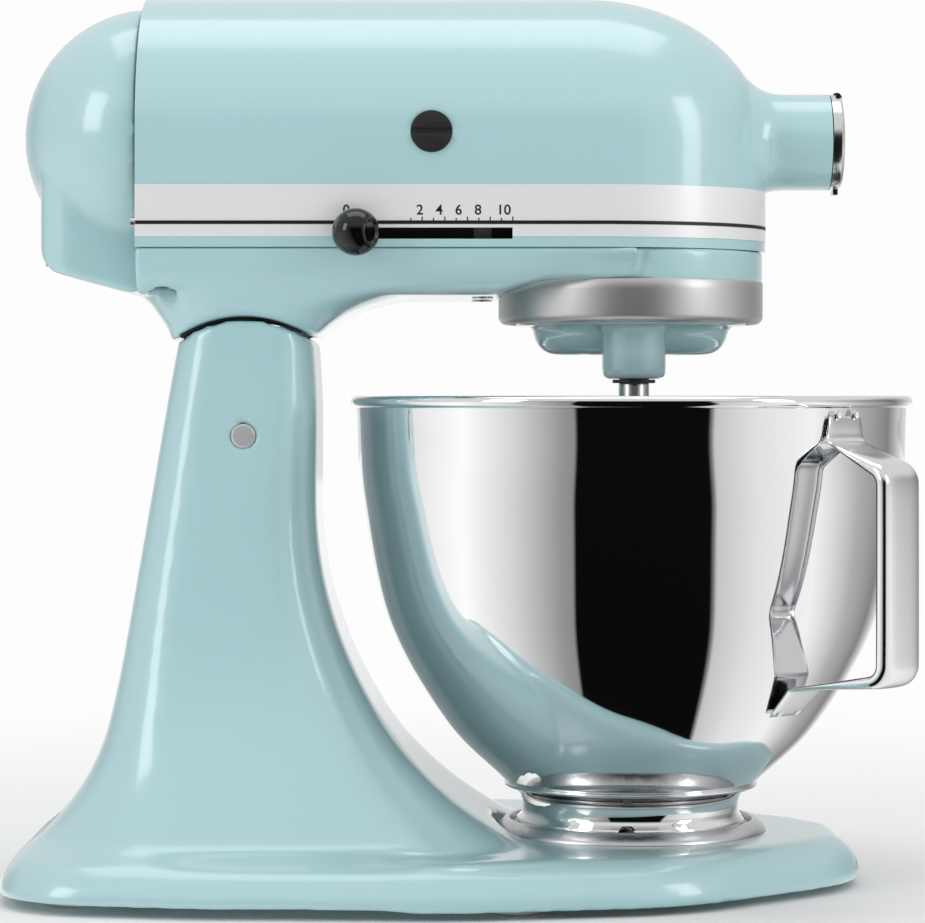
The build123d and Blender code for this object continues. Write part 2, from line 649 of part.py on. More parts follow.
gearcase_screws = []
for side in (-1, 1):
    rear = (REAR_SCREW_X, side * rear_screw_y)
    front = (BRACKET_X, side * front_screw_y)
    gearcase_screws.append(screw(SCREW_R, (*rear, rear_screw_top_z), (*rear, rear_pocket_z), 4.0, 2.4))
    gearcase_screws.append(screw(SCREW_R, (*front, PARTING_Z + 6), (*front, GEARCASE_BOTTOM_Z), 4.2, 1.8))
save("gearcase_screws", *gearcase_screws)

bush_top_z = floor_z + WALL + 6.0
save("centre_shaft_bush", tube(bush_r, CENTRE_SHAFT_R + FIT, (PLANET_X, 0, floor_z), (PLANET_X, 0, bush_top_z)))

# Rear cover: a dome over a block with a sloping underside, both hollow
REAR_DOME_Z = HEAD_Z + 1.1


def rear_cover_body(inset):
    """Dome and block of the rear cover, drawn in by the inset."""
    dome = Pos(REAR_DOME_X, 0, REAR_DOME_Z) * Sphere(REAR_DOME_R - inset)
    low_z = GEARCASE_BOTTOM_Z - 5.0
    plan = RectangleRounded(80, 2 * (REAR_BLOCK_HALF_WIDTH - inset), REAR_BLOCK_CORNER_R - inset)
    lower = Pos(REAR_BLOCK_X + inset + 40, 0, low_z) * extrude(plan, REAR_DOME_Z - low_z)
    lower -= polygon_xz(
        [
            (HEAD_REAR_X + 60, GEARCASE_BOTTOM_Z + 1.4 + inset),
            (HEAD_REAR_X - 4.5, GEARCASE_BOTTOM_Z + 1.4 + inset),
            (REAR_BLOCK_X + 5.3, REAR_BLOCK_BOTTOM_Z + inset),
            (REAR_BLOCK_X - 1.0, REAR_BLOCK_BOTTOM_Z + 8.0 + inset),
            (REAR_BLOCK_X - 10.0, REAR_BLOCK_BOTTOM_Z + 8.0 + inset),
            (REAR_BLOCK_X - 10.0, low_z - 5),
            (HEAD_REAR_X + 60, low_z - 5),
        ],
        80,
    )
    return dome + lower


rear_front_x = HEAD_REAR_X - 0.05
rear_cover = rear_cover_body(0.0) & block(-300, rear_front_x, -100, 100, 200, 400)
rear_cover -= rear_cover_body(3.0)
COVER_SCREW_Z = 266.0
bush_spot = (16.0, 256.0)
bush_hole_r = 6.0
rear_cover -= rod(bush_hole_r, (REAR_BLOCK_X - 5, *bush_spot), (REAR_BLOCK_X + 12, *bush_spot))
rear_cover -= rod(SCREW_R + FIT, (REAR_BLOCK_X - 5, 0, COVER_SCREW_Z), (REAR_BLOCK_X + 12, 0, COVER_SCREW_Z))
save("rear_cover", rear_cover)

cover_seat_x = REAR_BLOCK_X - 0.05
cover_screw_tip_x = REAR_BEARING_X - 2.0
save(
    "rear_cover_screw",
    screw(SCREW_R, (cover_screw_tip_x, 0, COVER_SCREW_Z), (cover_seat_x, 0, COVER_SCREW_Z), 4.2, 2.2),
)
bush_start = (REAR_BLOCK_X + 8.0, *bush_spot)
bush_wall = (REAR_BLOCK_X - 0.05, *bush_spot)
bush_end = (REAR_BLOCK_X - 2.4, *bush_spot)
cord_bush = rod(bush_hole_r, bush_start, bush_wall) + rod(bush_hole_r + 2.0, bush_wall, bush_end)
cord_bush -= rod(3.4, bush_start, bush_end)
save("cord_inlet_bush", cord_bush)

# ---------------------------------------------------------------- hub, its cover and thumbscrew
sleeve_x = HUB_END_X - HUB_SLEEVE_LENGTH
hub_sleeve = tube(HUB_SLEEVE_R, HUB_BORE_R, (sleeve_x, 0, HEAD_Z), (HUB_END_X, 0, HEAD_Z))
hub_sleeve -= thumb_hole
knuckle = rod(2.0, (HUB_PIN_X, -knuckle_half, HUB_PIN_Z), (HUB_PIN_X, knuckle_half, HUB_PIN_Z))
knuckle += block(HUB_END_X, HUB_PIN_X, -knuckle_half, knuckle_half, HUB_PIN_Z - 2.0, HUB_PIN_Z + 1.0)
knuckle -= rod(1.0, (HUB_PIN_X, -10, HUB_PIN_Z), (HUB_PIN_X, 10, HUB_PIN_Z))
save("hub_sleeve", hub_sleeve)
cover_pin = rod(1.0, (HUB_PIN_X, -9, HUB_PIN_Z), (HUB_PIN_X, 9, HUB_PIN_Z))
save("hub_cover_hinge", knuckle, cover_pin)

cap_x0 = HUB_END_X + GAP
cap_x1 = HUB_END_X + HUB_CAP_LENGTH
hub_cover = turned_about_x(
    [(cap_x0, 0), (cap_x0, HUB_R), (cap_x1 - 1.6, HUB_R), (cap_x1 - 0.5, HUB_R - 1.0), (cap_x1, HUB_R - 5), (cap_x1, 0)],
    HEAD_Z,
)
lip_z = HEAD_Z - HUB_R
hub_cover += block(cap_x0 + 1.2, cap_x0 + 3.2, -4, 4, lip_z - 2.0, lip_z + 3.0)
notch_half = knuckle_half + GAP
hub_cover -= block(cap_x0 - 1, cap_x1 + 1, -notch_half, notch_half, HUB_PIN_Z - 2.6, HUB_PIN_Z + 10)
hub_cover -= rod(1.0 + FIT, (HUB_PIN_X, -9 - GAP, HUB_PIN_Z), (HUB_PIN_X, 9 + GAP, HUB_PIN_Z))
save("hub_cover", hub_cover)

THUMB_KNOB_R = 9.5
thumb_y = HUB_R + 5.0
thumb_screw = rod(THUMB_R, (THUMB_X, HUB_BORE_R + 0.2, HEAD_Z), (THUMB_X, thumb_y, HEAD_Z))
save("attachment_thumbscrew", thumb_screw)
thumb_knob = rod(THUMB_KNOB_R, (THUMB_X, thumb_y, HEAD_Z), (THUMB_X, thumb_y + 12, HEAD_Z))
thumb_knob = fillet(thumb_knob.edges(), 2.0)
for index in range(12):
    angle = math.radians(index * 30)
    x = THUMB_X + THUMB_KNOB_R * math.cos(angle)
    z = HEAD_Z + THUMB_KNOB_R * math.sin(angle)
    thumb_knob -= rod(1.1, (x, thumb_y - 1, z), (x, thumb_y + 14, z))
save("attachment_knob", thumb_knob)

# ---------------------------------------------------------------- drip ring and planetary
ring_inner_r = DRIP_RING_R - DRIP_RING_WALL
ring_lip_r = DRIP_RING_R - 4.5
drip_ring = turned(
    [
        (ring_inner_r, RING_TOP_Z),
        (DRIP_RING_R, RING_TOP_Z),
        (DRIP_RING_R, DRIP_RING_BOTTOM_Z + DRIP_RING_EDGE_R),
        (DRIP_RING_R - DRIP_RING_EDGE_R * 0.3, DRIP_RING_BOTTOM_Z + DRIP_RING_EDGE_R * 0.3),
        (DRIP_RING_R - DRIP_RING_EDGE_R, DRIP_RING_BOTTOM_Z),
        (ring_lip_r, DRIP_RING_BOTTOM_Z),
        (ring_lip_r, DRIP_RING_BOTTOM_Z + DRIP_RING_WALL),
        (ring_inner_r, DRIP_RING_BOTTOM_Z + DRIP_RING_WALL),
    ],
    PLANET_X,
)
save("drip_ring", drip_ring)

ring_hole = gear_outline(RING_GEAR_TEETH, PLANET_MODULE, addendum=1.1, dedendum=0.7, backlash=-GEAR_BACKLASH)
ring_gear = Cylinder(RING_GEAR_R, RING_GEAR_WIDTH, align=(Align.CENTER, Align.CENTER, Align.MIN))
ring_gear -= extrude(ring_hole, RING_GEAR_WIDTH)
save("ring_gear", Pos(PLANET_X, 0, RING_GEAR_BOTTOM_Z) * ring_gear)

BEATER_Y = -PLANET_OFFSET
lobes = Pos(PLANET_X, 0, LOBE_BOTTOM_Z) * extrude(
    RectangleRounded(2 * LOBE_REACH, 2 * LOBE_HALF_WIDTH, LOBE_HALF_WIDTH - 1.0), 14.0
)
lobes = fillet(lobes.edges().group_by(Axis.Z)[0], LOBE_EDGE_R)
disc_bottom_z = LOBE_BOTTOM_Z + 11.5
planetary = lobes + rod(PLANETARY_DISC_R, (PLANET_X, 0, disc_bottom_z), (PLANET_X, 0, PLANETARY_DISC_TOP_Z))
boss = rod(BEATER_BOSS_R, (PLANET_X, BEATER_Y, BEATER_BOSS_BOTTOM_Z), (PLANET_X, BEATER_Y, disc_bottom_z + 2))
boss = chamfer(boss.edges().group_by(Axis.Z)[0], 1.5)
planetary += boss
planetary += block(PLANET_X - 10, PLANET_X + 10, BEATER_Y, 0, LOBE_BOTTOM_Z + 1, disc_bottom_z + 1)
UPPER_SHAFT_R = BEATER_SHAFT_R - BEATER_SHAFT_RELIEF
planetary -= rod(UPPER_SHAFT_R + FIT, (PLANET_X, BEATER_Y, 190), (PLANET_X, BEATER_Y, 240))
planetary -= rod(CENTRE_SHAFT_R, (PLANET_X, 0, LOBE_BOTTOM_Z + 3), (PLANET_X, 0, 240))
save("planetary", planetary)

shaft_top_z = HEAD_Z - 7.0
save("centre_shaft", rod(CENTRE_SHAFT_R, (PLANET_X, 0, LOBE_BOTTOM_Z + 3), (PLANET_X, 0, shaft_top_z)))

shaft_end_z = BEATER_SHAFT_BOTTOM_Z + BEATER_END_LENGTH
shaft = rod(BEATER_SHAFT_R, (PLANET_X, BEATER_Y, BEATER_SHAFT_BOTTOM_Z), (PLANET_X, BEATER_Y, shaft_end_z))
shaft = chamfer(shaft.edges().group_by(Axis.Z)[0], 1.0)
shaft += rod(UPPER_SHAFT_R, (PLANET_X, BEATER_Y, shaft_end_z - 1), (PLANET_X, BEATER_Y, RING_GEAR_BOTTOM_Z + 8))
shaft -= rod(DRIVE_PIN_R, (PLANET_X - 20, BEATER_Y, DRIVE_PIN_Z), (PLANET_X + 20, BEATER_Y, DRIVE_PIN_Z))
save("beater_shaft", shaft)
pin_x = (PLANET_X - DRIVE_PIN_REACH, PLANET_X + DRIVE_PIN_REACH)
save("beater_drive_pin", rod(DRIVE_PIN_R, (pin_x[0], BEATER_Y, DRIVE_PIN_Z), (pin_x[1], BEATER_Y, DRIVE_PIN_Z)))
washer_z = BEATER_BOSS_BOTTOM_Z - 0.2
save(
    "beater_shaft_washer",
    tube(SHAFT_WASHER_R, UPPER_SHAFT_R, (PLANET_X, BEATER_Y, washer_z - 1.4), (PLANET_X, BEATER_Y, washer_z)),
)
pinion_at = (PLANET_X, BEATER_Y, RING_GEAR_BOTTOM_Z)
save(
    "planet_pinion",
    spur_gear(PLANET_PINION_TEETH, PLANET_MODULE, pinion_at, RING_GEAR_WIDTH - 0.4, UPPER_SHAFT_R),
)

# ---------------------------------------------------------------- gear train above the gearcase
worm_wheel_y = WORM_R + WORM_WHEEL_R + 0.2
train_distance = TRAIN_MODULE * (TRAIN_GEAR_TEETH + TRAIN_PINION_TEETH) / 2
WORM_X = PLANET_X - math.sqrt(train_distance**2 - worm_wheel_y**2)
mesh_deg = math.degrees(math.atan2(worm_wheel_y, WORM_X - PLANET_X))
train_at = (PLANET_X, 0, TRAIN_GEAR_Z)
save(
    "centre_gear",
    spur_gear(TRAIN_GEAR_TEETH, TRAIN_MODULE, train_at, TRAIN_GEAR_WIDTH, CENTRE_SHAFT_R, phase_deg=mesh_deg),
)
counter_at = (WORM_X, worm_wheel_y, TRAIN_GEAR_Z)
counter_phase = mesh_deg + 180 + 180 / TRAIN_PINION_TEETH
COUNTER_SHAFT_R = 4.0
save(
    "counter_pinion",
    spur_gear(
        TRAIN_PINION_TEETH, TRAIN_MODULE, counter_at, TRAIN_GEAR_WIDTH, COUNTER_SHAFT_R, phase_deg=counter_phase
    ),
)
counter_top_z = HEAD_Z + 13.0
counter_bottom_z = PARTING_Z - 6.0
counter_shaft = rod(
    COUNTER_SHAFT_R, (WORM_X, worm_wheel_y, counter_bottom_z), (WORM_X, worm_wheel_y, counter_top_z)
)
save("counter_shaft", counter_shaft)
wheel_module = 2 * WORM_WHEEL_R / (WORM_WHEEL_TEETH + 1.6)
wheel_at = (WORM_X, worm_wheel_y, HEAD_Z - WORM_WHEEL_WIDTH / 2)
save("worm_wheel", spur_gear(WORM_WHEEL_TEETH, wheel_module, wheel_at, WORM_WHEEL_WIDTH, COUNTER_SHAFT_R))

# Bevel pair that turns the attachment hub's socket
cone = BEVEL_PINION_R / BEVEL_GEAR_R
inner_r = BEVEL_GEAR_R - BEVEL_FACE
gear_z = HEAD_Z - BEVEL_GEAR_R * cone - 0.2
bevel_gear = turned(
    [
        (CENTRE_SHAFT_R, gear_z - 7),
        (BEVEL_GEAR_R - 3, gear_z - 7),
        (BEVEL_GEAR_R, gear_z),
        (inner_r, gear_z + BEVEL_FACE * cone),
        (CENTRE_SHAFT_R, gear_z + BEVEL_FACE * cone),
    ],
    PLANET_X,
)
for index in range(26):
    groove = Pos((inner_r + BEVEL_GEAR_R) / 2, 0, gear_z + BEVEL_FACE * cone / 2)
    cut = groove * Rot(0, math.degrees(math.atan(cone)), 0) * Box(BEVEL_FACE * 1.6, 2.0, 3.0)
    bevel_gear -= Pos(PLANET_X, 0, 0) * Rot(0, 0, index * 360 / 26) * cut
save("bevel_gear", bevel_gear)

HUB_SHAFT_R = 5.0
pinion_x0 = PLANET_X + inner_r + 0.3
pinion_x1 = PLANET_X + BEVEL_GEAR_R + 0.3
bevel_pinion = turned_about_x(
    [
        (pinion_x0, HUB_SHAFT_R),
        (pinion_x0, inner_r * cone - 0.1),
        (pinion_x1, BEVEL_PINION_R - 0.1),
        (pinion_x1 + 3, BEVEL_PINION_R - 2.5),
        (pinion_x1 + 3, HUB_SHAFT_R),
    ],
    HEAD_Z,
)
for index in range(15):
    groove = Pos((pinion_x0 + pinion_x1) / 2, 0, (inner_r + BEVEL_GEAR_R) / 2 * cone)
    cut = groove * Rot(0, -math.degrees(math.atan(cone)), 0) * Box(BEVEL_FACE * 1.6, 2.0, 3.0)
    bevel_pinion -= Pos(0, 0, HEAD_Z) * Rot(index * 24, 0, 0) * cut
save("bevel_pinion", bevel_pinion)
bearing_x = hub_inner_x + 3.0
socket_x = bearing_x + 9.0
hub_shaft = rod(HUB_SHAFT_R, (pinion_x0, 0, HEAD_Z), (socket_x, 0, HEAD_Z))
hub_shaft += rod(9.0, (socket_x, 0, HEAD_Z), (socket_x + 14, 0, HEAD_Z))
hub_shaft -= block(socket_x + 2, socket_x + 20, -4.2, 4.2, HEAD_Z - 4.2, HEAD_Z + 4.2)
save("hub_drive_shaft", hub_shaft)
save("hub_bearing", tube(HUB_SLEEVE_R, HUB_SHAFT_R + FIT, (bearing_x, 0, HEAD_Z), (bearing_x + 7, 0, HEAD_Z)))

# ---------------------------------------------------------------- motor
shaft_rear_x = REAR_BEARING_X - 8.0
shaft_front_x = WORM_X + WORM_LENGTH / 2
save("armature_shaft", rod(ARMATURE_SHAFT_R, (shaft_rear_x, 0, HEAD_Z), (shaft_front_x, 0, HEAD_Z)))
worm_ends = (WORM_X - WORM_LENGTH / 2, WORM_X + WORM_LENGTH / 2)
save("worm", tube(WORM_R, ARMATURE_SHAFT_R, (worm_ends[0], 0, HEAD_Z), (worm_ends[1], 0, HEAD_Z)))
core_ends = (CORE_X - CORE_LENGTH / 2, CORE_X + CORE_LENGTH / 2)
core = tube(CORE_R, ARMATURE_SHAFT_R, (core_ends[0], 0, HEAD_Z), (core_ends[1], 0, HEAD_Z))
for index in range(12):
    slot = block(core_ends[0] - 1, core_ends[1] + 1, -2, 2, CORE_R - 9, CORE_R + 2)
    core -= Pos(0, 0, HEAD_Z) * Rot(index * 30, 0, 0) * slot
save("armature_core", core)
brush_ends = (BRUSH_X - COMMUTATOR_LENGTH / 2, BRUSH_X + COMMUTATOR_LENGTH / 2)
commutator = tube(COMMUTATOR_R, ARMATURE_SHAFT_R, (brush_ends[0], 0, HEAD_Z), (brush_ends[1], 0, HEAD_Z))
save("commutator", commutator)
fan = tube(11.0, ARMATURE_SHAFT_R, (FAN_X - 5, 0, HEAD_Z), (FAN_X + 5, 0, HEAD_Z))
fan += tube(FAN_R, ARMATURE_SHAFT_R, (FAN_X + 3.5, 0, HEAD_Z), (FAN_X + 5, 0, HEAD_Z))
for index in range(FAN_BLADES):
    blade = block(FAN_X - 5, FAN_X + 4, -0.8, 0.8, 10, FAN_R)
    fan += Pos(0, 0, HEAD_Z) * Rot(index * 360 / FAN_BLADES, 0, 0) * blade
save("fan", fan)

bearings = []
brackets = []
for x, low_z in ((FRONT_BEARING_X, PARTING_Z), (REAR_BEARING_X, PARTING_Z + 4)):
    half = BEARING_WIDTH / 2
    bearings.append(tube(BEARING_R, ARMATURE_SHAFT_R + FIT, (x - half, 0, HEAD_Z), (x + half, 0, HEAD_Z)))
    bracket = head_body(WALL, PARTING_Z) & block(x - half, x + half, -100, 100, low_z, 400)
    bracket -= rod(BEARING_R, (x - 20, 0, HEAD_Z), (x + 20, 0, HEAD_Z))
    for angle in (45, 135, 225, 315):
        y = 32 * math.cos(math.radians(angle))
        z = HEAD_Z + 32 * math.sin(math.radians(angle))
        bracket -= rod(9.0, (x - 20, y, z), (x + 20, y, z))
    brackets.append(bracket)
for side in (-1, 1):
    spot = (BRACKET_X, side * front_screw_y)
    brackets[0] -= rod(SCREW_R, (*spot, PARTING_Z - 1), (*spot, PARTING_Z + 6))
brackets[1] -= rod(SCREW_R, (-200, 0, COVER_SCREW_Z), (cover_screw_tip_x, 0, COVER_SCREW_Z))
pad_y = -HEAD_R + WALL + 9.0
lever_notch = block(BRACKET_X - 10, BRACKET_X + 10, -HEAD_R, pad_y + 3.0, PARTING_Z - 1, LEVER_Z + 5.8)
brackets[0] -= lever_notch
save("armature_bearings", *bearings)
save("front_bearing_bracket", brackets[0])
save("rear_bearing_bracket", brackets[1])

arm_x0 = FRONT_BEARING_X + BEARING_WIDTH / 2
arm_z0 = HEAD_Z + WORM_R + 1.5
worm_bracket = block(arm_x0, WORM_X + 8, worm_wheel_y - 7, worm_wheel_y + 7, arm_z0, arm_z0 + 5)
worm_bracket -= rod(
    COUNTER_SHAFT_R + FIT, (WORM_X, worm_wheel_y, arm_z0 - 1), (WORM_X, worm_wheel_y, arm_z0 + 6)
)
save("worm_bracket", worm_bracket)

stator = head_body(WALL, PARTING_Z) & block(*core_ends, -100, 100, HEAD_Z - 34.5, HEAD_Z + 38)
stator -= rod(CORE_R + AIR_GAP, (-200, 0, HEAD_Z), (20, 0, HEAD_Z))
windings = []
for side in (-1, 1):
    z0, z1 = sorted((HEAD_Z + side * (CORE_R + 2.5), HEAD_Z + side * (CORE_R + 9.5)))
    stator -= block(-200, 20, -18, 18, z0, z1)
    windings.append(block(core_ends[0] - 5, core_ends[1] + 5, -18, 18, z0, z1))
save("stator_core", stator)
save("field_windings", *windings)

# ---------------------------------------------------------------- brushes
holders, carbons, springs, caps = [], [], [], []
carbon_y0 = COMMUTATOR_R + 0.1
carbon_y1 = carbon_y0 + 13.0
spring_y1 = cap_seat_y - 8.0
for side in (-1, 1):
    def at(y):
        """Point on the brush axis."""
        return (BRUSH_X, side * y, HEAD_Z)

    holders.append(tube(BRUSH_HOLDER_R, BRUSH_BORE_R, at(COMMUTATOR_R + 1.5), at(cap_seat_y)))
    carbons.append(rod(BRUSH_BORE_R - 0.02, at(carbon_y0), at(carbon_y1)))
    turns = Plane(origin=at(carbon_y1 + 0.5), z_dir=(0, side, 0)) * Helix(
        (spring_y1 - carbon_y1 - 1) / 5, spring_y1 - carbon_y1 - 1, BRUSH_BORE_R - 1.2
    )
    wire = Plane(origin=turns @ 0, z_dir=turns % 0) * Circle(0.45)
    springs.append(sweep(wire, path=turns))
    cap = rod(BRUSH_BORE_R - 0.02, at(spring_y1), at(cap_seat_y))
    cap += rod(BRUSH_CAP_R, at(cap_seat_y), at(HEAD_R + BRUSH_CAP_PROUD))
    slot_y0, slot_y1 = sorted((side * (HEAD_R + BRUSH_CAP_PROUD - 1.3), side * (HEAD_R + 5)))
    half = BRUSH_SLOT_WIDTH / 2
    cap -= block(BRUSH_X - 20, BRUSH_X + 20, slot_y0, slot_y1, HEAD_Z - half, HEAD_Z + half)
    caps.append(cap)
save("brush_holders", *holders)
save("carbon_brushes", *carbons)
save("brush_springs", *springs)
save("brush_caps", *caps)

# ---------------------------------------------------------------- speed control
guide_x0 = LEVER_X - 16.0
guide_x1 = LEVER_X + LEVER_TRAVEL + 16.0
guide_z0 = PARTING_Z + 0.6
guide = block(guide_x0, guide_x1, -HEAD_R + WALL, pad_y + 4.5, guide_z0, LEVER_Z + 4.8)
channel_x = (LEVER_X - 9.0, LEVER_X + LEVER_TRAVEL + 9.0)
guide -= block(*channel_x, pad_y - 1.6 - GAP, pad_y + 1.6 + GAP, LEVER_Z - 3 - GAP, LEVER_Z + 3 + GAP)
guide -= block(*channel_x, -70, pad_y, LEVER_Z - slot_half_height, LEVER_Z + slot_half_height)
guide -= block(FRONT_BEARING_X - 4, FRONT_BEARING_X + 4, -70, -20, 240, 300)
save("speed_control_guide", guide)

half = LEVER_THICKNESS / 2
speed_lever = block(
    LEVER_X - LEVER_WIDTH / 2, LEVER_X + LEVER_WIDTH / 2, -HEAD_R - KNOB_PROUD + 5, pad_y, LEVER_Z - half, LEVER_Z + half
)
speed_lever += block(LEVER_X - 8, LEVER_X + 8, pad_y - 1.6, pad_y + 1.6, LEVER_Z - 3, LEVER_Z + 3)
knob_at = Pos(LEVER_X, -HEAD_R - KNOB_PROUD, LEVER_Z)
knob = knob_at * Sphere(KNOB_R)
speed_lever -= knob
save("speed_lever", speed_lever)
save("speed_knob", knob)

# ---------------------------------------------------------------- bowl
ROLL_CENTRE_R = BOWL_RIM_R - BOWL_ROLL_R
ROLL_CENTRE_Z = BOWL_RIM_Z - BOWL_ROLL_R
bowl_side = Spline(
    (BOWL_SEAM_R, BOWL_SEAM_Z),
    (BOWL_RIM_R * 0.662, BOWL_SEAM_Z + 24.6),
    (BOWL_RIM_R * 0.867, BOWL_SEAM_Z + 65.0),
    (BOWL_RIM_R * 0.959, BOWL_SEAM_Z + 114.0),
    (ROLL_CENTRE_R, ROLL_CENTRE_Z),
    tangents=[(1.0, 0.9), (0.0, 1.0)],
)


def wall_point(share, depth):
    """Point at a share of the bowl's side, moved outwards from the wall by a depth."""
    point = bowl_side @ share
    along = bowl_side % share
    return (point.X + along.Y * depth, point.Y - along.X * depth)


def share_at(height):
    """Share of the bowl's side at which it reaches a height."""
    low, high = 0.0, 1.0
    for _ in range(40):
        middle = (low + high) / 2
        if (bowl_side @ middle).Y < height:
            low = middle
        else:
            high = middle
    return middle


inner_side = Spline(
    *[wall_point(step / 6, -BOWL_WALL) for step in range(7)],
    tangents=[bowl_side % 0, bowl_side % 1],
)
floor_inner_z = (inner_side @ 0).Y
floor_arc = 8.0
bowl_section = make_face(
    [
        bowl_side,
        Line(bowl_side @ 1, inner_side @ 1),
        inner_side,
        Line(inner_side @ 0, (BOWL_SEAM_R - floor_arc, BOWL_FLOOR_Z + BOWL_WALL)),
        Line((BOWL_SEAM_R - floor_arc, BOWL_FLOOR_Z + BOWL_WALL), (0, BOWL_FLOOR_Z + BOWL_WALL)),
        Line((0, BOWL_FLOOR_Z + BOWL_WALL), (0, BOWL_FLOOR_Z)),
        Line((0, BOWL_FLOOR_Z), (BOWL_SEAM_R - floor_arc, BOWL_FLOOR_Z)),
        Line((BOWL_SEAM_R - floor_arc, BOWL_FLOOR_Z), bowl_side @ 0),
    ]
)
upright = Pos(PLANET_X, 0, 0) * Rot(90, 0, 0)
bowl = upright * revolve(bowl_section, Axis.Y)
bowl += Pos(PLANET_X, 0, ROLL_CENTRE_Z) * Torus(ROLL_CENTRE_R, BOWL_ROLL_R)
save("bowl", bowl)

foot_bottom_z = PLATFORM_Z + PLATE_FLOOR + 0.1
foot_wall = BOWL_WALL
foot_top_z = BOWL_SEAM_Z - 0.4
foot_flare = ThreePointArc(
    (BOWL_FOOT_R, foot_bottom_z + 6), (BOWL_FOOT_R + 1.3, foot_top_z - 5.0), (BOWL_FOOT_FLARE_R, foot_top_z)
)
foot_flare_inner = ThreePointArc(
    (BOWL_FOOT_FLARE_R - foot_wall * 1.6, foot_top_z),
    (BOWL_FOOT_R + 1.3 - foot_wall, foot_top_z - 4.4),
    (BOWL_FOOT_R - foot_wall, foot_bottom_z + 6),
)
foot_section = make_face(
    [
        Line((BOWL_FOOT_R, foot_bottom_z), (BOWL_FOOT_R, foot_bottom_z + 6)),
        foot_flare,
        Line(foot_flare @ 1, foot_flare_inner @ 0),
        foot_flare_inner,
        Line((BOWL_FOOT_R - foot_wall, foot_bottom_z + 6), (BOWL_FOOT_R - foot_wall, foot_bottom_z)),
        Line((BOWL_FOOT_R - foot_wall, foot_bottom_z), (BOWL_FOOT_R, foot_bottom_z)),
    ]
)
bowl_foot = upright * revolve(foot_section, Axis.Y)
for index in range(BOWL_TWIST_TABS):
    tab = block(BOWL_FOOT_R - foot_wall, BOWL_FOOT_R + 2.2, -7, 7, foot_bottom_z, foot_bottom_z + 1.6)
    angle = HANDLE_AZIMUTH_DEG + 45 + index * 360 / BOWL_TWIST_TABS
    bowl_foot += Pos(PLANET_X, 0, 0) * Rot(0, 0, angle) * tab
save("bowl_foot", bowl_foot)

half_strap = HANDLE_THICKNESS / 2 + 0.05
strap_r = HANDLE_REACH - HANDLE_THICKNESS / 2
handle_line = FilletPolyline(
    wall_point(share_at(HANDLE_UPPER_TAB_Z), half_strap),
    wall_point(share_at(HANDLE_TOP_Z + 10), half_strap),
    (strap_r, HANDLE_TOP_Z + 1),
    (strap_r, HANDLE_GRIP_BOTTOM_Z - 1),
    (wall_point(share_at(HANDLE_LOWER_TAB_Z + 14), half_strap)[0] + 3, HANDLE_GRIP_BOTTOM_Z - 4),
    wall_point(share_at(HANDLE_LOWER_TAB_Z), half_strap),
    radius=[3.0, HANDLE_CORNER_R, HANDLE_CORNER_R, 4.0],
)
strap = extrude(trace(handle_line, HANDLE_THICKNESS), HANDLE_WIDTH / 2, both=True)
bowl_handle = Pos(PLANET_X, 0, 0) * Rot(0, 0, HANDLE_AZIMUTH_DEG) * Rot(90, 0, 0) * strap
save("bowl_handle", bowl_handle)
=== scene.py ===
"""Tilt-head stand mixer: the visible pieces, their finishes and the studio, built round the fixed CAD frame.

Every length is in metres, +Z up, the head pointing along +X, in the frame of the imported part.
"""

from __future__ import annotations

import json
import logging
import math
from collections.abc import Callable, Iterable, Sequence
from dataclasses import dataclass, field
from enum import Enum

import bpy
from mathutils import Matrix, Vector
from mathutils.kdtree import KDTree

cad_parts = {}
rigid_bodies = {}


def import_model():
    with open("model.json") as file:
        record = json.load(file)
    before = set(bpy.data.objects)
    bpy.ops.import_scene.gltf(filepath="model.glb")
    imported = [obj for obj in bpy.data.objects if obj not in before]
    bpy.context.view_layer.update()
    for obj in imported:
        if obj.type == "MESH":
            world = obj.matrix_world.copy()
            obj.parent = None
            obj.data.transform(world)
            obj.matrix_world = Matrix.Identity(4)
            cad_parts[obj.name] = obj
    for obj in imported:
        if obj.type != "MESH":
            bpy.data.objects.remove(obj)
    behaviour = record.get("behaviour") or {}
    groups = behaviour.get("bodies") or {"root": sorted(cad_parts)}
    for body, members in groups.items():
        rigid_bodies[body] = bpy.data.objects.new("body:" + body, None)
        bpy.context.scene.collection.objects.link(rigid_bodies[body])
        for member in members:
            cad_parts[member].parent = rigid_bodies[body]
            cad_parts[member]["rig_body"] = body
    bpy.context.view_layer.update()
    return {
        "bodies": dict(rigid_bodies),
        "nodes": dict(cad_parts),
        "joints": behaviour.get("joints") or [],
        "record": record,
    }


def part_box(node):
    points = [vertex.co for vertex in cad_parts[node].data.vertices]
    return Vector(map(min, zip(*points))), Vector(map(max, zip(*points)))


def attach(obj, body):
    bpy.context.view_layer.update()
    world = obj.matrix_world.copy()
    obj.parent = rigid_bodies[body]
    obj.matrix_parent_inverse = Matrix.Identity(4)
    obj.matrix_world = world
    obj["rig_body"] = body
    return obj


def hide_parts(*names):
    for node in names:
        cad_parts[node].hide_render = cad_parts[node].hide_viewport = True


MM = 0.001
LOG = logging.getLogger("stand_mixer")
FLOAT = "NodeSocketFloat"
VECTOR = "NodeSocketVector"
COLOUR = "NodeSocketColor"
Point = tuple[float, float]
Spot = tuple[float, float, float]
Value = bpy.types.NodeSocket | float | tuple[float, ...]


def unit(value: float) -> float:
    """Hold a value between 0 and 1."""
    return min(max(value, 0.0), 1.0)


# ---------------------------------------------------------------- finishes
class Pattern(Enum):
    """Direction in which a finish carries its fine relief, as a stretch of the pattern's coordinates."""

    EVEN = (1.0, 1.0, 1.0)
    LEVEL_LINES = (0.03, 0.03, 1.0)
    ROUND_X = (1.0, 0.05, 0.05)


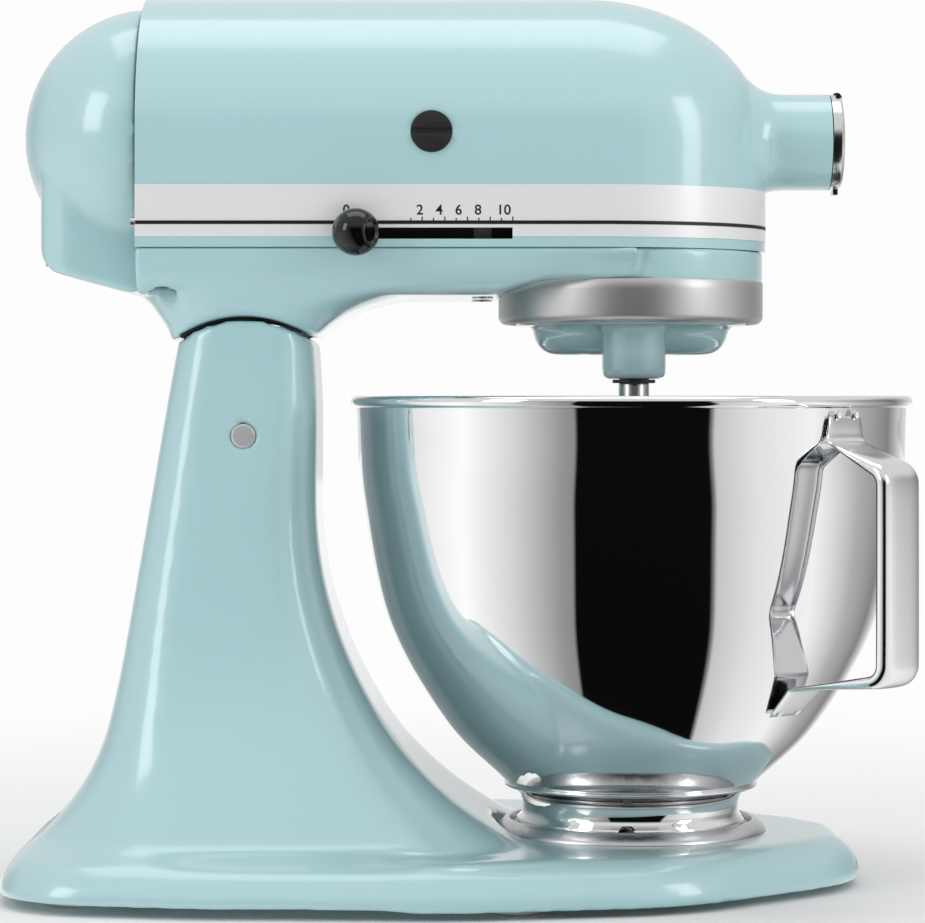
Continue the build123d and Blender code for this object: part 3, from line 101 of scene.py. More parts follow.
def new_group(
    name: str, inputs: dict[str, tuple[str, float]], outputs: dict[str, str]
) -> bpy.types.NodeTree:
    """Start a shader node group with named sockets.

    Args:
        name: Name of the group.
        inputs: Socket type and default value of each input.
        outputs: Socket type of each output.

    Returns:
        The group, with its input and output nodes.
    """
    group = bpy.data.node_groups.new(name, "ShaderNodeTree")
    for title, (kind, default) in inputs.items():
        socket = group.interface.new_socket(name=title, in_out="INPUT", socket_type=kind)
        if kind == FLOAT:
            socket.default_value = default
    for title, kind in outputs.items():
        group.interface.new_socket(name=title, in_out="OUTPUT", socket_type=kind)
    group.nodes.new("NodeGroupInput")
    group.nodes.new("NodeGroupOutput")
    return group


@dataclass
class Sketch:
    """A shader node tree that is being wired up.

    Args:
        tree: The tree.
    """

    tree: bpy.types.NodeTree

    def feed(self, node: bpy.types.Node, inputs: dict[str | int, Value]) -> None:
        """Give each input its value, or link the socket that is given instead."""
        for title, value in inputs.items():
            if isinstance(value, bpy.types.NodeSocket):
                self.tree.links.new(value, node.inputs[title])
            else:
                node.inputs[title].default_value = value

    def add(
        self, kind: str, inputs: dict[str | int, Value] | None = None, **settings: object
    ) -> bpy.types.Node:
        """Add a node.

        Args:
            kind: Blender's name of the node, after the words that all of them share.
            inputs: A value or a socket for each input.
            settings: Values of the node's properties.

        Returns:
            The node.
        """
        node = self.tree.nodes.new("ShaderNode" + kind)
        for title, value in settings.items():
            setattr(node, title, value)
        self.feed(node, inputs or {})
        return node

    def math(self, operation: str, *values: Value, clamp: bool = False) -> bpy.types.NodeSocket:
        """Add a sum over some values and return its result."""
        node = self.add("Math", dict(enumerate(values)), operation=operation, use_clamp=clamp)
        return node.outputs["Value"]

    def map_range(self, value: Value, low: float, high: float, kind: str = "LINEAR") -> bpy.types.Node:
        """Add a map from low..high to 0..1."""
        inputs = {"Value": value, "From Min": low, "From Max": high}
        return self.add("MapRange", inputs, interpolation_type=kind)

    def mix_colours(self, share: Value, first: Value, second: Value) -> bpy.types.NodeSocket:
        """Add a mix of two colours and return its result."""
        return self.add("Mix", {"Factor": share, 6: first, 7: second}, data_type="RGBA").outputs[2]

    def mix_shaders(self, share: Value, first: bpy.types.Node, second: bpy.types.Node) -> bpy.types.Node:
        """Add a mix of two shaders."""
        return self.add("MixShader", {"Fac": share, 1: first.outputs[0], 2: second.outputs[0]})


class EffectGroups:
    """The shader effects that the finishes share, each built once as a node group."""

    FINER = 3.7
    FINE_SHARE = 0.35
    MASK_SPAN = (0.45, 0.9)
    SMUDGE_SPAN = (0.35, 0.95)
    TONE_SHARE = 0.5

    def __init__(self) -> None:
        """Build the groups."""
        self.relief = self._relief()
        self.smudge = self._smudge()
        self.tone = self._tone()

    def _relief(self) -> bpy.types.NodeTree:
        """Fine relief: two sizes of stretched noise added up, as a height and a mask."""
        inputs = {"Vector": (VECTOR, 0.0), "Scale": (FLOAT, 500.0)}
        group = new_group("fine_relief", inputs, {"Height": FLOAT, "Mask": FLOAT})
        sketch = Sketch(group)
        source = group.nodes["Group Input"].outputs
        coarse = sketch.add("TexNoise", {"Vector": source["Vector"], "Scale": source["Scale"], "Detail": 3.0})
        finer = sketch.math("MULTIPLY", source["Scale"], self.FINER)
        fine = sketch.add("TexNoise", {"Vector": source["Vector"], "Scale": finer, "Detail": 2.0})
        total = sketch.math("MULTIPLY_ADD", fine.outputs["Fac"], self.FINE_SHARE, coarse.outputs["Fac"])
        mask = sketch.map_range(total, *self.MASK_SPAN)
        sketch.feed(group.nodes["Group Output"], {"Height": total, "Mask": mask.outputs["Result"]})
        return group

    def _smudge(self) -> bpy.types.NodeTree:
        """Uneven polish: soft clouds between a low and a high roughness."""
        inputs = {
            "Vector": (VECTOR, 0.0), "Scale": (FLOAT, 30.0), "Low": (FLOAT, 0.1), "High": (FLOAT, 0.2),
            "Mask": (FLOAT, 0.0),
        }
        group = new_group("uneven_polish", inputs, {"Roughness": FLOAT})
        sketch = Sketch(group)
        source = group.nodes["Group Input"].outputs
        place = {"Vector": source["Vector"], "Scale": source["Scale"]}
        cloud = sketch.add("TexNoise", {**place, "Detail": 5.0, "Distortion": 0.6})
        both = sketch.math("MULTIPLY_ADD", source["Mask"], self.FINE_SHARE, cloud.outputs["Fac"])
        rough = sketch.map_range(both, *self.SMUDGE_SPAN)
        sketch.feed(rough, {"To Min": source["Low"], "To Max": source["High"]})
        sketch.feed(group.nodes["Group Output"], {"Roughness": rough.outputs["Result"]})
        return group

    def _tone(self) -> bpy.types.NodeTree:
        """Slow change of tone between two colours over the surface."""
        inputs = {
            "Vector": (VECTOR, 0.0), "Scale": (FLOAT, 12.0), "Mask": (FLOAT, 0.0), "Light": (COLOUR, 0.0),
            "Dark": (COLOUR, 0.0),
        }
        group = new_group("slow_tone", inputs, {"Colour": COLOUR})
        sketch = Sketch(group)
        source = group.nodes["Group Input"].outputs
        cloud = sketch.add("TexNoise", {"Vector": source["Vector"], "Scale": source["Scale"], "Detail": 4.0})
        both = sketch.math("MULTIPLY_ADD", source["Mask"], self.TONE_SHARE, cloud.outputs["Fac"], clamp=True)
        colour = sketch.mix_colours(both, source["Light"], source["Dark"])
        sketch.feed(group.nodes["Group Output"], {"Colour": colour})
        return group


@dataclass(frozen=True)
class Finish:
    """One surface finish: its colour, gloss and fine relief.

    Args:
        name: Name of the material.
        colour: Linear colour.
        shade: The darker tone's share of the colour.
        metallic: 1 for bare metal.
        roughness: Lowest and highest roughness.
        pattern: Direction of the relief.
        grain: Number of relief features per metre.
        depth: Depth of the relief in metres.
        coat: Weight of the clear gloss on top.
        coat_roughness: Roughness of that gloss.
        clouds: Number of polish clouds per metre.
    """

    name: str
    colour: tuple[float, float, float]
    shade: float
    metallic: float
    roughness: Point
    pattern: Pattern = Pattern.EVEN
    grain: float = 900.0
    depth: float = 0.000004
    coat: float = 0.0
    coat_roughness: float = 0.03
    clouds: float = 25.0

    def material(self, effects: EffectGroups) -> bpy.types.Material:
        """Build the material once and return it.

        Args:
            effects: The shared node groups.

        Returns:
            The material of this finish.
        """
        if self.name in bpy.data.materials:
            return bpy.data.materials[self.name]
        material = bpy.data.materials.new(self.name)
        material.use_nodes = True
        sketch = Sketch(material.node_tree)
        place = sketch.add("TexCoord").outputs["Object"]
        stretch = sketch.add("Mapping", {"Vector": place, "Scale": self.pattern.value}).outputs["Vector"]
        relief = sketch.add("Group", {"Scale": self.grain, "Vector": stretch}, node_tree=effects.relief)
        shared = {"Vector": place, "Mask": relief.outputs["Mask"]}
        span = {"Low": self.roughness[0], "High": self.roughness[1]}
        polish = sketch.add("Group", {**shared, **span, "Scale": self.clouds}, node_tree=effects.smudge)
        tones = {"Light": (*self.colour, 1.0), "Dark": (*[part * self.shade for part in self.colour], 1.0)}
        tone = sketch.add("Group", {**shared, **tones}, node_tree=effects.tone)
        bump = {"Strength": 1.0, "Distance": self.depth, "Height": relief.outputs["Height"]}
        sketch.feed(
            material.node_tree.nodes["Principled BSDF"],
            {
                "Metallic": self.metallic,
                "Coat Weight": self.coat,
                "Coat Roughness": self.coat_roughness,
                "Roughness": polish.outputs["Roughness"],
                "Base Color": tone.outputs["Colour"],
                "Normal": sketch.add("Bump", bump).outputs["Normal"],
            },
        )
        material.diffuse_color = (*self.colour, 1.0)
        return material


ENAMEL = Finish(
    "aqua_enamel", (0.415, 0.640, 0.668), 0.995, 0.0, (0.28, 0.31), grain=260.0, depth=0.000002, coat=1.0,
    coat_roughness=0.12, clouds=9.0,
)
MIRROR = Finish(
    "mirror_steel", (0.86, 0.86, 0.87), 0.985, 1.0, (0.02, 0.05), Pattern.LEVEL_LINES, 2600.0, 0.0000002,
    clouds=14.0,
)
STRAP = Finish(
    "polished_strap", (0.84, 0.84, 0.85), 0.97, 1.0, (0.10, 0.17), Pattern.LEVEL_LINES, 2400.0, 0.0000012,
    clouds=40.0,
)
BRUSHED = Finish(
    "brushed_steel", (0.80, 0.80, 0.81), 0.90, 1.0, (0.14, 0.22), Pattern.LEVEL_LINES, 3800.0, 0.000004,
)
TRIM = Finish(
    "satin_trim", (0.84, 0.845, 0.85), 0.997, 0.15, (0.29, 0.31), Pattern.LEVEL_LINES, 4200.0, 0.0000009,
)
SATIN = Finish("satin_steel", (0.66, 0.66, 0.67), 0.9, 1.0, (0.24, 0.32), grain=1800.0, depth=0.000003)
PIN_STEEL = Finish("pin_end_steel", (0.74, 0.74, 0.75), 0.9, 0.5, (0.26, 0.34), grain=1500.0, depth=0.000002)
CHROME = Finish("bright_chrome", (0.80, 0.81, 0.82), 0.96, 1.0, (0.14, 0.20), grain=900.0, depth=0.0000005)
GROUND_STEEL = Finish(
    "ground_steel", (0.60, 0.60, 0.61), 0.85, 1.0, (0.18, 0.28), Pattern.LEVEL_LINES, 3000.0, 0.000003,
)
GEAR_STEEL = Finish("gear_steel", (0.42, 0.42, 0.43), 0.7, 1.0, (0.28, 0.42), grain=1500.0, depth=0.000008)
BRONZE = Finish("worm_bronze", (0.55, 0.36, 0.17), 0.75, 1.0, (0.26, 0.40), grain=1300.0, depth=0.000006)
IRON = Finish(
    "motor_laminations", (0.20, 0.20, 0.21), 0.6, 0.9, (0.4, 0.55), Pattern.EVEN, 1400.0, 0.00002,
)
COPPER = Finish("copper_wire", (0.62, 0.27, 0.12), 0.7, 1.0, (0.24, 0.38), Pattern.ROUND_X, 2600.0, 0.00006)
BRASS = Finish("turned_brass", (0.66, 0.50, 0.22), 0.8, 1.0, (0.2, 0.34), grain=1500.0, depth=0.000004)
CAST = Finish("cast_bracket", (0.46, 0.47, 0.48), 0.78, 1.0, (0.4, 0.55), grain=800.0, depth=0.00003)
GLOSS_BLACK = Finish(
    "gloss_black", (0.003, 0.003, 0.0035), 0.8, 0.0, (0.07, 0.10), grain=700.0, depth=0.0000003,
)
MATT_BLACK = Finish(
    "moulded_black", (0.022, 0.022, 0.024), 0.75, 0.0, (0.36, 0.5), grain=1500.0, depth=0.000012,
)
PRINT = Finish("black_print", (0.010, 0.010, 0.011), 0.8, 0.0, (0.40, 0.50), grain=2000.0, depth=0.000001)
RUBBER = Finish("foot_rubber", (0.60, 0.60, 0.58), 0.85, 0.0, (0.6, 0.75), grain=1200.0, depth=0.00001)
CARBON = Finish("carbon_block", (0.03, 0.03, 0.032), 0.7, 0.0, (0.5, 0.65), grain=1600.0, depth=0.00001)

CARRIED: tuple[tuple[Finish, tuple[str, ...]], ...] = (
    (ENAMEL, ("upper_housing",)),
    (TRIM, ("trim_band",)),
    (RUBBER, ("rubber_feet",)),
    (SATIN, ("clamp_plate_screws", "rear_cover_screw", "trim_band_screws")),
    (BRASS, ("centre_shaft_bush", "hub_bearing", "brush_holders")),
    (MATT_BLACK, ("cord_inlet_bush", "speed_control_guide", "speed_lever", "fan")),
    (CHROME, ("hub_cover_hinge",)),
    (CAST, ("front_bearing_bracket", "rear_bearing_bracket", "worm_bracket")),
    (IRON, ("stator_core", "armature_core")),
    (COPPER, ("field_windings", "commutator")),
    (CARBON, ("carbon_brushes",)),
    (BRONZE, ("worm_wheel",)),
    (
        GEAR_STEEL,
        ("hinge_pin_set_screw", "ring_gear", "centre_gear", "bevel_gear", "planet_pinion", "counter_pinion",
         "worm", "bevel_pinion"),
    ),
    (
        GROUND_STEEL,
        ("hub_sleeve", "armature_bearings", "brush_springs", "head_lock_lever", "attachment_thumbscrew",
         "centre_shaft", "beater_drive_pin", "counter_shaft", "armature_shaft", "hub_drive_shaft"),
    ),
)


# ---------------------------------------------------------------- the maker's bench
def clear_selection() -> None:
    """Leave edit mode and deselect everything."""
    if bpy.context.mode != "OBJECT":
        bpy.ops.object.mode_set(mode="OBJECT")
    bpy.ops.object.select_all(action="DESELECT")


def take(piece: bpy.types.Object) -> None:
    """Make one piece the only selected and active one."""
    clear_selection()
    piece.select_set(True)
    bpy.context.view_layer.objects.active = piece


def tidy_shell(piece: bpy.types.Object, reach: float = 0.000002) -> None:
    """Merge doubled points and turn every face outwards.

    Args:
        piece: The piece to tidy.
        reach: Distance within which points are merged.
    """
    take(piece)
    bpy.ops.object.mode_set(mode="EDIT")
    bpy.ops.mesh.select_all(action="SELECT")
    bpy.ops.mesh.remove_doubles(threshold=reach)
    bpy.ops.mesh.normals_make_consistent(inside=False)
    bpy.ops.object.mode_set(mode="OBJECT")


def apply_modifier(piece: bpy.types.Object, kind: str, **settings: object) -> None:
    """Add a modifier with its settings and apply it.

    Args:
        piece: The piece to change.
        kind: Blender's name of the modifier.
        settings: Values of the modifier's properties.
    """
    take(piece)
    modifier = piece.modifiers.new(kind.lower(), kind)
    for title, value in settings.items():
        setattr(modifier, title, value)
    bpy.ops.object.modifier_apply(modifier=modifier.name)


def subdivide(piece: bpy.types.Object, levels: int) -> None:
    """Smooth a cage with a subdivision surface of some levels."""
    apply_modifier(piece, "SUBSURF", levels=levels, render_levels=levels)


def smooth_shading(piece: bpy.types.Object, angle_deg: float = 35.0) -> None:
    """Shade a piece smooth, with sharp edges above an angle."""
    take(piece)
    bpy.ops.object.shade_smooth_by_angle(angle=math.radians(angle_deg))


def move_mesh(piece: bpy.types.Object, matrix: Matrix) -> bpy.types.Object:
    """Move the mesh and leave the object at the origin.

    Args:
        piece: The piece to move.
        matrix: Where it goes.

    Returns:
        The same piece.
    """
    piece.data.transform(matrix)
    piece.data.update()
    return piece


def cut_out(body: bpy.types.Object, cutter: bpy.types.Object) -> None:
    """Cut one body out of another and remove it."""
    apply_modifier(body, "BOOLEAN", operation="DIFFERENCE", object=cutter, solver="EXACT")
    bpy.data.objects.remove(cutter)


def cylinder(vertices: int, radius: float, depth: float, matrix: Matrix) -> bpy.types.Object:
    """Build a cylinder in its place, with its mesh placed and the object at the origin."""
    clear_selection()
    bpy.ops.mesh.primitive_cylinder_add(vertices=vertices, radius=radius, depth=depth)
    return move_mesh(bpy.context.object, matrix)


def start_point(name: str) -> bpy.types.Object:
    """Start a piece as a plane drawn together into one point at the origin, left in edit mode."""
    clear_selection()
    bpy.ops.mesh.primitive_plane_add(size=MM, location=(0.0, 0.0, 0.0))
    piece = bpy.context.object
    piece.name = name
    piece.data.name = name
    bpy.ops.object.mode_set(mode="EDIT")
    bpy.ops.mesh.select_all(action="SELECT")
    bpy.ops.mesh.merge(type="CENTER")
    return piece


def draw_line(points: Sequence[Vector]) -> None:
    """Draw a line of edges by moving and extruding the one point in edit mode."""
    bpy.ops.transform.translate(value=points[0])
    for before, here in zip(points, points[1:]):
        bpy.ops.mesh.extrude_region_move(TRANSFORM_OT_translate={"value": here - before})


def lathe(name: str, profile: Sequence[Point], steps: int = 128, closed: bool = False) -> bpy.types.Object:
    """Turn a profile about the vertical axis through the origin.

    Args:
        name: Name of the piece.
        profile: Radius and height of each point.
        steps: Number of steps round.
        closed: Whether the profile is a closed ring.

    Returns:
        The turned piece.
    """
    piece = start_point(name)
    ring = list(profile) + ([profile[0]] if closed else [])
    draw_line([Vector((radius, 0.0, height)) for radius, height in ring])
    bpy.ops.mesh.select_all(action="SELECT")
    bpy.ops.mesh.spin(steps=steps, angle=math.tau, center=(0.0, 0.0, 0.0), axis=(0.0, 0.0, 1.0))
    tidy_shell(piece)
    return piece


def spread(points: Sequence[Point], per_span: int) -> list[Point]:
    """Points along a smooth curve through the given ones.

    Args:
        points: Points that the curve goes through.
        per_span: Number of points from one given point to the next.

    Returns:
        The closer points, with both ends.
    """
    knots = [Vector((2 * points[0][0] - points[1][0], 2 * points[0][1] - points[1][1]))]
    knots += [Vector(point) for point in points]
    knots.append(Vector((2 * points[-1][0] - points[-2][0], 2 * points[-1][1] - points[-2][1])))
    line: list[Point] = []
    for index in range(1, len(knots) - 2):
        a, b, c, d = knots[index - 1 : index + 3]
        for step in range(per_span):
            t = step / per_span
            spot = 0.5 * (
                2 * b + (c - a) * t + (2 * a - 5 * b + 4 * c - d) * t**2 + (3 * b - a - 3 * c + d) * t**3
            )
            line.append((spot.x, spot.y))
    line.append(tuple(points[-1]))
    return line


def arc(centre: Point, radius: float, start_deg: float, end_deg: float, steps: int) -> list[Point]:
    """Points along an arc.

    Args:
        centre: Centre of the arc.
        radius: Its radius.
        start_deg: Angle of the first point.
        end_deg: Angle of the last point.
        steps: Number of steps between them.

    Returns:
        The points, with both ends.
    """
    angles = [math.radians(start_deg + (end_deg - start_deg) * step / steps) for step in range(steps + 1)]
    return [(centre[0] + radius * math.cos(angle), centre[1] + radius * math.sin(angle)) for angle in angles]


def rounded_line(corners: Sequence[Point], radii: Sequence[float], steps: int = 6) -> list[Point]:
    """A line through corners, each inner corner rounded by an arc.

    Args:
        corners: Corners of the line.
        radii: Radius at each inner corner.
        steps: Steps in each arc.

    Returns:
        The points of the rounded line.
    """
    line = [tuple(corners[0])]
    for before, here, after, radius in zip(corners, corners[1:], corners[2:], radii):
        corner = Vector(here)
        back = (Vector(before) - corner).normalized()
        ahead = (Vector(after) - corner).normalized()
        half = back.angle(ahead) / 2
        centre = corner + (back + ahead).normalized() * (radius / math.sin(half))
        first = corner + back * (radius / math.tan(half)) - centre
        last = corner + ahead * (radius / math.tan(half)) - centre
        for step in range(steps + 1):
            spot = centre + first.normalized().slerp(last.normalized(), step / steps) * radius
            line.append((spot.x, spot.y))
    line.append(tuple(corners[-1]))
    return line


def stack_rings(name: str, rings: Sequence[Sequence[Vector]]) -> bpy.types.Object:
    """Build a closed body through rings of points, one above the other.

    Args:
        name: Name of the piece.
        rings: The rings, lowest first, all with the same number of points.

    Returns:
        The body, closed at both ends.
    """
    count = len(rings[0])
    clear_selection()
    bpy.ops.mesh.primitive_circle_add(vertices=count, radius=1.0, fill_type="NGON", location=(0.0, 0.0, 0.0))
    piece = bpy.context.object
    piece.name = name
    bpy.ops.object.mode_set(mode="EDIT")
    bpy.ops.mesh.select_all(action="SELECT")
    for _ in rings[1:]:
        bpy.ops.mesh.extrude_region_move(TRANSFORM_OT_translate={"value": (0.0, 0.0, MM)})
    bpy.ops.object.mode_set(mode="OBJECT")
    for point in piece.data.vertices:
        place = round(math.atan2(point.co.y, point.co.x) / math.tau * count) % count
        point.co = rings[round(point.co.z / MM)][place]
    tidy_shell(piece)
    return piece


def rounded_ring(
    rear: float, front: float, half: float, corner: float, height: float, count: int
) -> list[Vector]:
    """Points round a rounded rectangle, spread evenly by length.

    Args:
        rear: Lowest x.
        front: Highest x.
        half: Half width along y.
        corner: Radius of the corners.
        height: Height of the ring.
        count: Number of points.

    Returns:
        The points, anticlockwise.
    """
    line: list[Vector] = []
    corners = ((front, half, 0.0), (rear, half, 90.0), (rear, -half, 180.0), (front, -half, 270.0))
    for x, y, turn in corners:
        middle = (x - math.copysign(corner, x - (rear + front) / 2), y - math.copysign(corner, y))
        line += [Vector((*spot, height)) for spot in arc(middle, corner, turn, turn + 90.0, 8)]
    line.append(line[0].copy())
    lengths = [0.0]
    for before, here in zip(line, line[1:]):
        lengths.append(lengths[-1] + (here - before).length)
    ring = []
    for index in range(count):
        goal = lengths[-1] * index / count
        place = max(i for i, length in enumerate(lengths) if length <= goal)
        span = lengths[place + 1] - lengths[place]
        share = (goal - lengths[place]) / span if span > 0.0 else 0.0
        ring.append(line[place].lerp(line[place + 1], share))
    return ring


@dataclass(frozen=True)
class Zone:
    """A box-shaped place on a casting that is blended more than the rest.

    Args:
        low: Lowest corner of the full effect.
        high: Highest corner of the full effect.
        fade: Distance over which the effect dies away outside that box.
        passes: Number of smoothing passes.
    """

    low: Spot
    high: Spot
    fade: float
    passes: int

    def share(self, spot: Vector) -> float:
        """Share of the effect at a point, from 0 outside to 1 inside."""
        share = 1.0
        for value, low, high in zip(spot, self.low, self.high):
            outside = max(low - value, value - high, 0.0)
            share *= max(1.0 - outside / self.fade, 0.0)
        return share


@dataclass
class Bench:
    """The frame, the shared effects, and the steps that every sub-assembly uses.

    Args:
        effects: The shared node groups.
    """

    frame: dict
    effects: EffectGroups = field(default_factory=EffectGroups)

    def body_of(self, node: str) -> str:
        """Name of the body that a CAD node rides on."""
        return self.frame["nodes"][node]["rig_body"]

    def paint(self, piece: bpy.types.Object, finish: Finish) -> None:
        """Give a piece one finish all over."""
        piece.data.materials.clear()
        piece.data.materials.append(finish.material(self.effects))

    def place(
        self,
        piece: bpy.types.Object,
        finish: Finish,
        slot: str,
        node: str,
        replaced: Iterable[str] = (),
        angle_deg: float = 35.0,
    ) -> bpy.types.Object:
        """Shade and paint a finished piece and put it on its body.

        Args:
            piece: The piece.
            finish: Its finish.
            slot: The record's material slot; not used.
            node: A CAD node of the body that it rides on.
            replaced: CAD nodes that it stands for.
            angle_deg: Angle above which an edge stays sharp.

        Returns:
            The same piece.
        """
        smooth_shading(piece, angle_deg)
        self.paint(piece, finish)
        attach(piece, self.body_of(node))
        for name in replaced:
            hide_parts(name)
        return piece

    def copy_node(self, name: str, node: str) -> bpy.types.Object:
        """Copy a CAD node's mesh into a new piece and merge its loose triangles.

        Args:
            name: Name of the new piece.
            node: The CAD node.

        Returns:
            The new piece.
        """
        mesh = self.frame["nodes"][node].data.copy()
        mesh.name = name
        piece = bpy.data.objects.new(name, mesh)
        bpy.context.scene.collection.objects.link(piece)
        take(piece)
        if mesh.has_custom_normals:
            bpy.ops.mesh.customdata_custom_splitnormals_clear()
        bpy.ops.object.mode_set(mode="EDIT")
        bpy.ops.mesh.select_all(action="SELECT")
        bpy.ops.mesh.remove_doubles(threshold=0.00001)
        bpy.ops.mesh.mark_sharp(clear=True)
        bpy.ops.object.mode_set(mode="OBJECT")
        return piece

    def recast(
        self,
        name: str,
        node: str,
        voxel: float,
        passes: int,
        zones: Sequence[Zone] = (),
        added: bpy.types.Object | None = None,
        cutter: bpy.types.Object | None = None,
        shape: Callable[[Vector], Vector] | None = None,
    ) -> bpy.types.Object:
        """Rework a copy of a CAD casting into one skin with softened edges and corners.

        Args:
            name: Name of the new piece.
            node: The CAD node.
            voxel: Size of the skin's faces.
            passes: Number of smoothing passes all over.
            zones: Places that are blended more.
            added: A body that is run into the casting.
            cutter: A body that is cut out of the casting.
            shape: Rule that moves each point of the skin before it is smoothed.

        Returns:
            The new piece.
        """
        piece = self.copy_node(name, node)
        if added is not None:
            added.select_set(True)
            bpy.ops.object.join()
        if cutter is not None:
            cut_out(piece, cutter)
        apply_modifier(piece, "REMESH", mode="VOXEL", voxel_size=voxel, use_smooth_shade=True)
        if shape is not None:
            for point in piece.data.vertices:
                point.co = shape(point.co)
        apply_modifier(piece, "SMOOTH", factor=0.5, iterations=passes)
        for index, zone in enumerate(zones):
            group = piece.vertex_groups.new(name=f"zone_{index}")
            for point in piece.data.vertices:
                share = zone.share(point.co)
                if share > 0.0:
                    group.add([point.index], share, "REPLACE")
            apply_modifier(piece, "SMOOTH", factor=0.5, iterations=zone.passes, vertex_group=group.name)
        return piece

    def soften(self, name: str, node: str, width: float, angle_deg: float = 30.0) -> bpy.types.Object:
        """Rework a copy of a CAD node so that its edges are broken by a small round.

        Args:
            name: Name of the new piece.
            node: The CAD node.
            width: Width of the round.
            angle_deg: Angle above which an edge is rounded.

        Returns:
            The new piece.
        """
        piece = self.copy_node(name, node)
        bpy.ops.object.mode_set(mode="EDIT")
        bpy.ops.mesh.select_all(action="SELECT")
        bpy.ops.mesh.dissolve_limited(angle_limit=math.radians(1.0))
        bpy.ops.object.mode_set(mode="OBJECT")
        limit = math.radians(angle_deg)
        apply_modifier(
            piece, "BEVEL", width=width, segments=3, limit_method="ANGLE", angle_limit=limit,
            use_clamp_overlap=True,
        )
        return piece


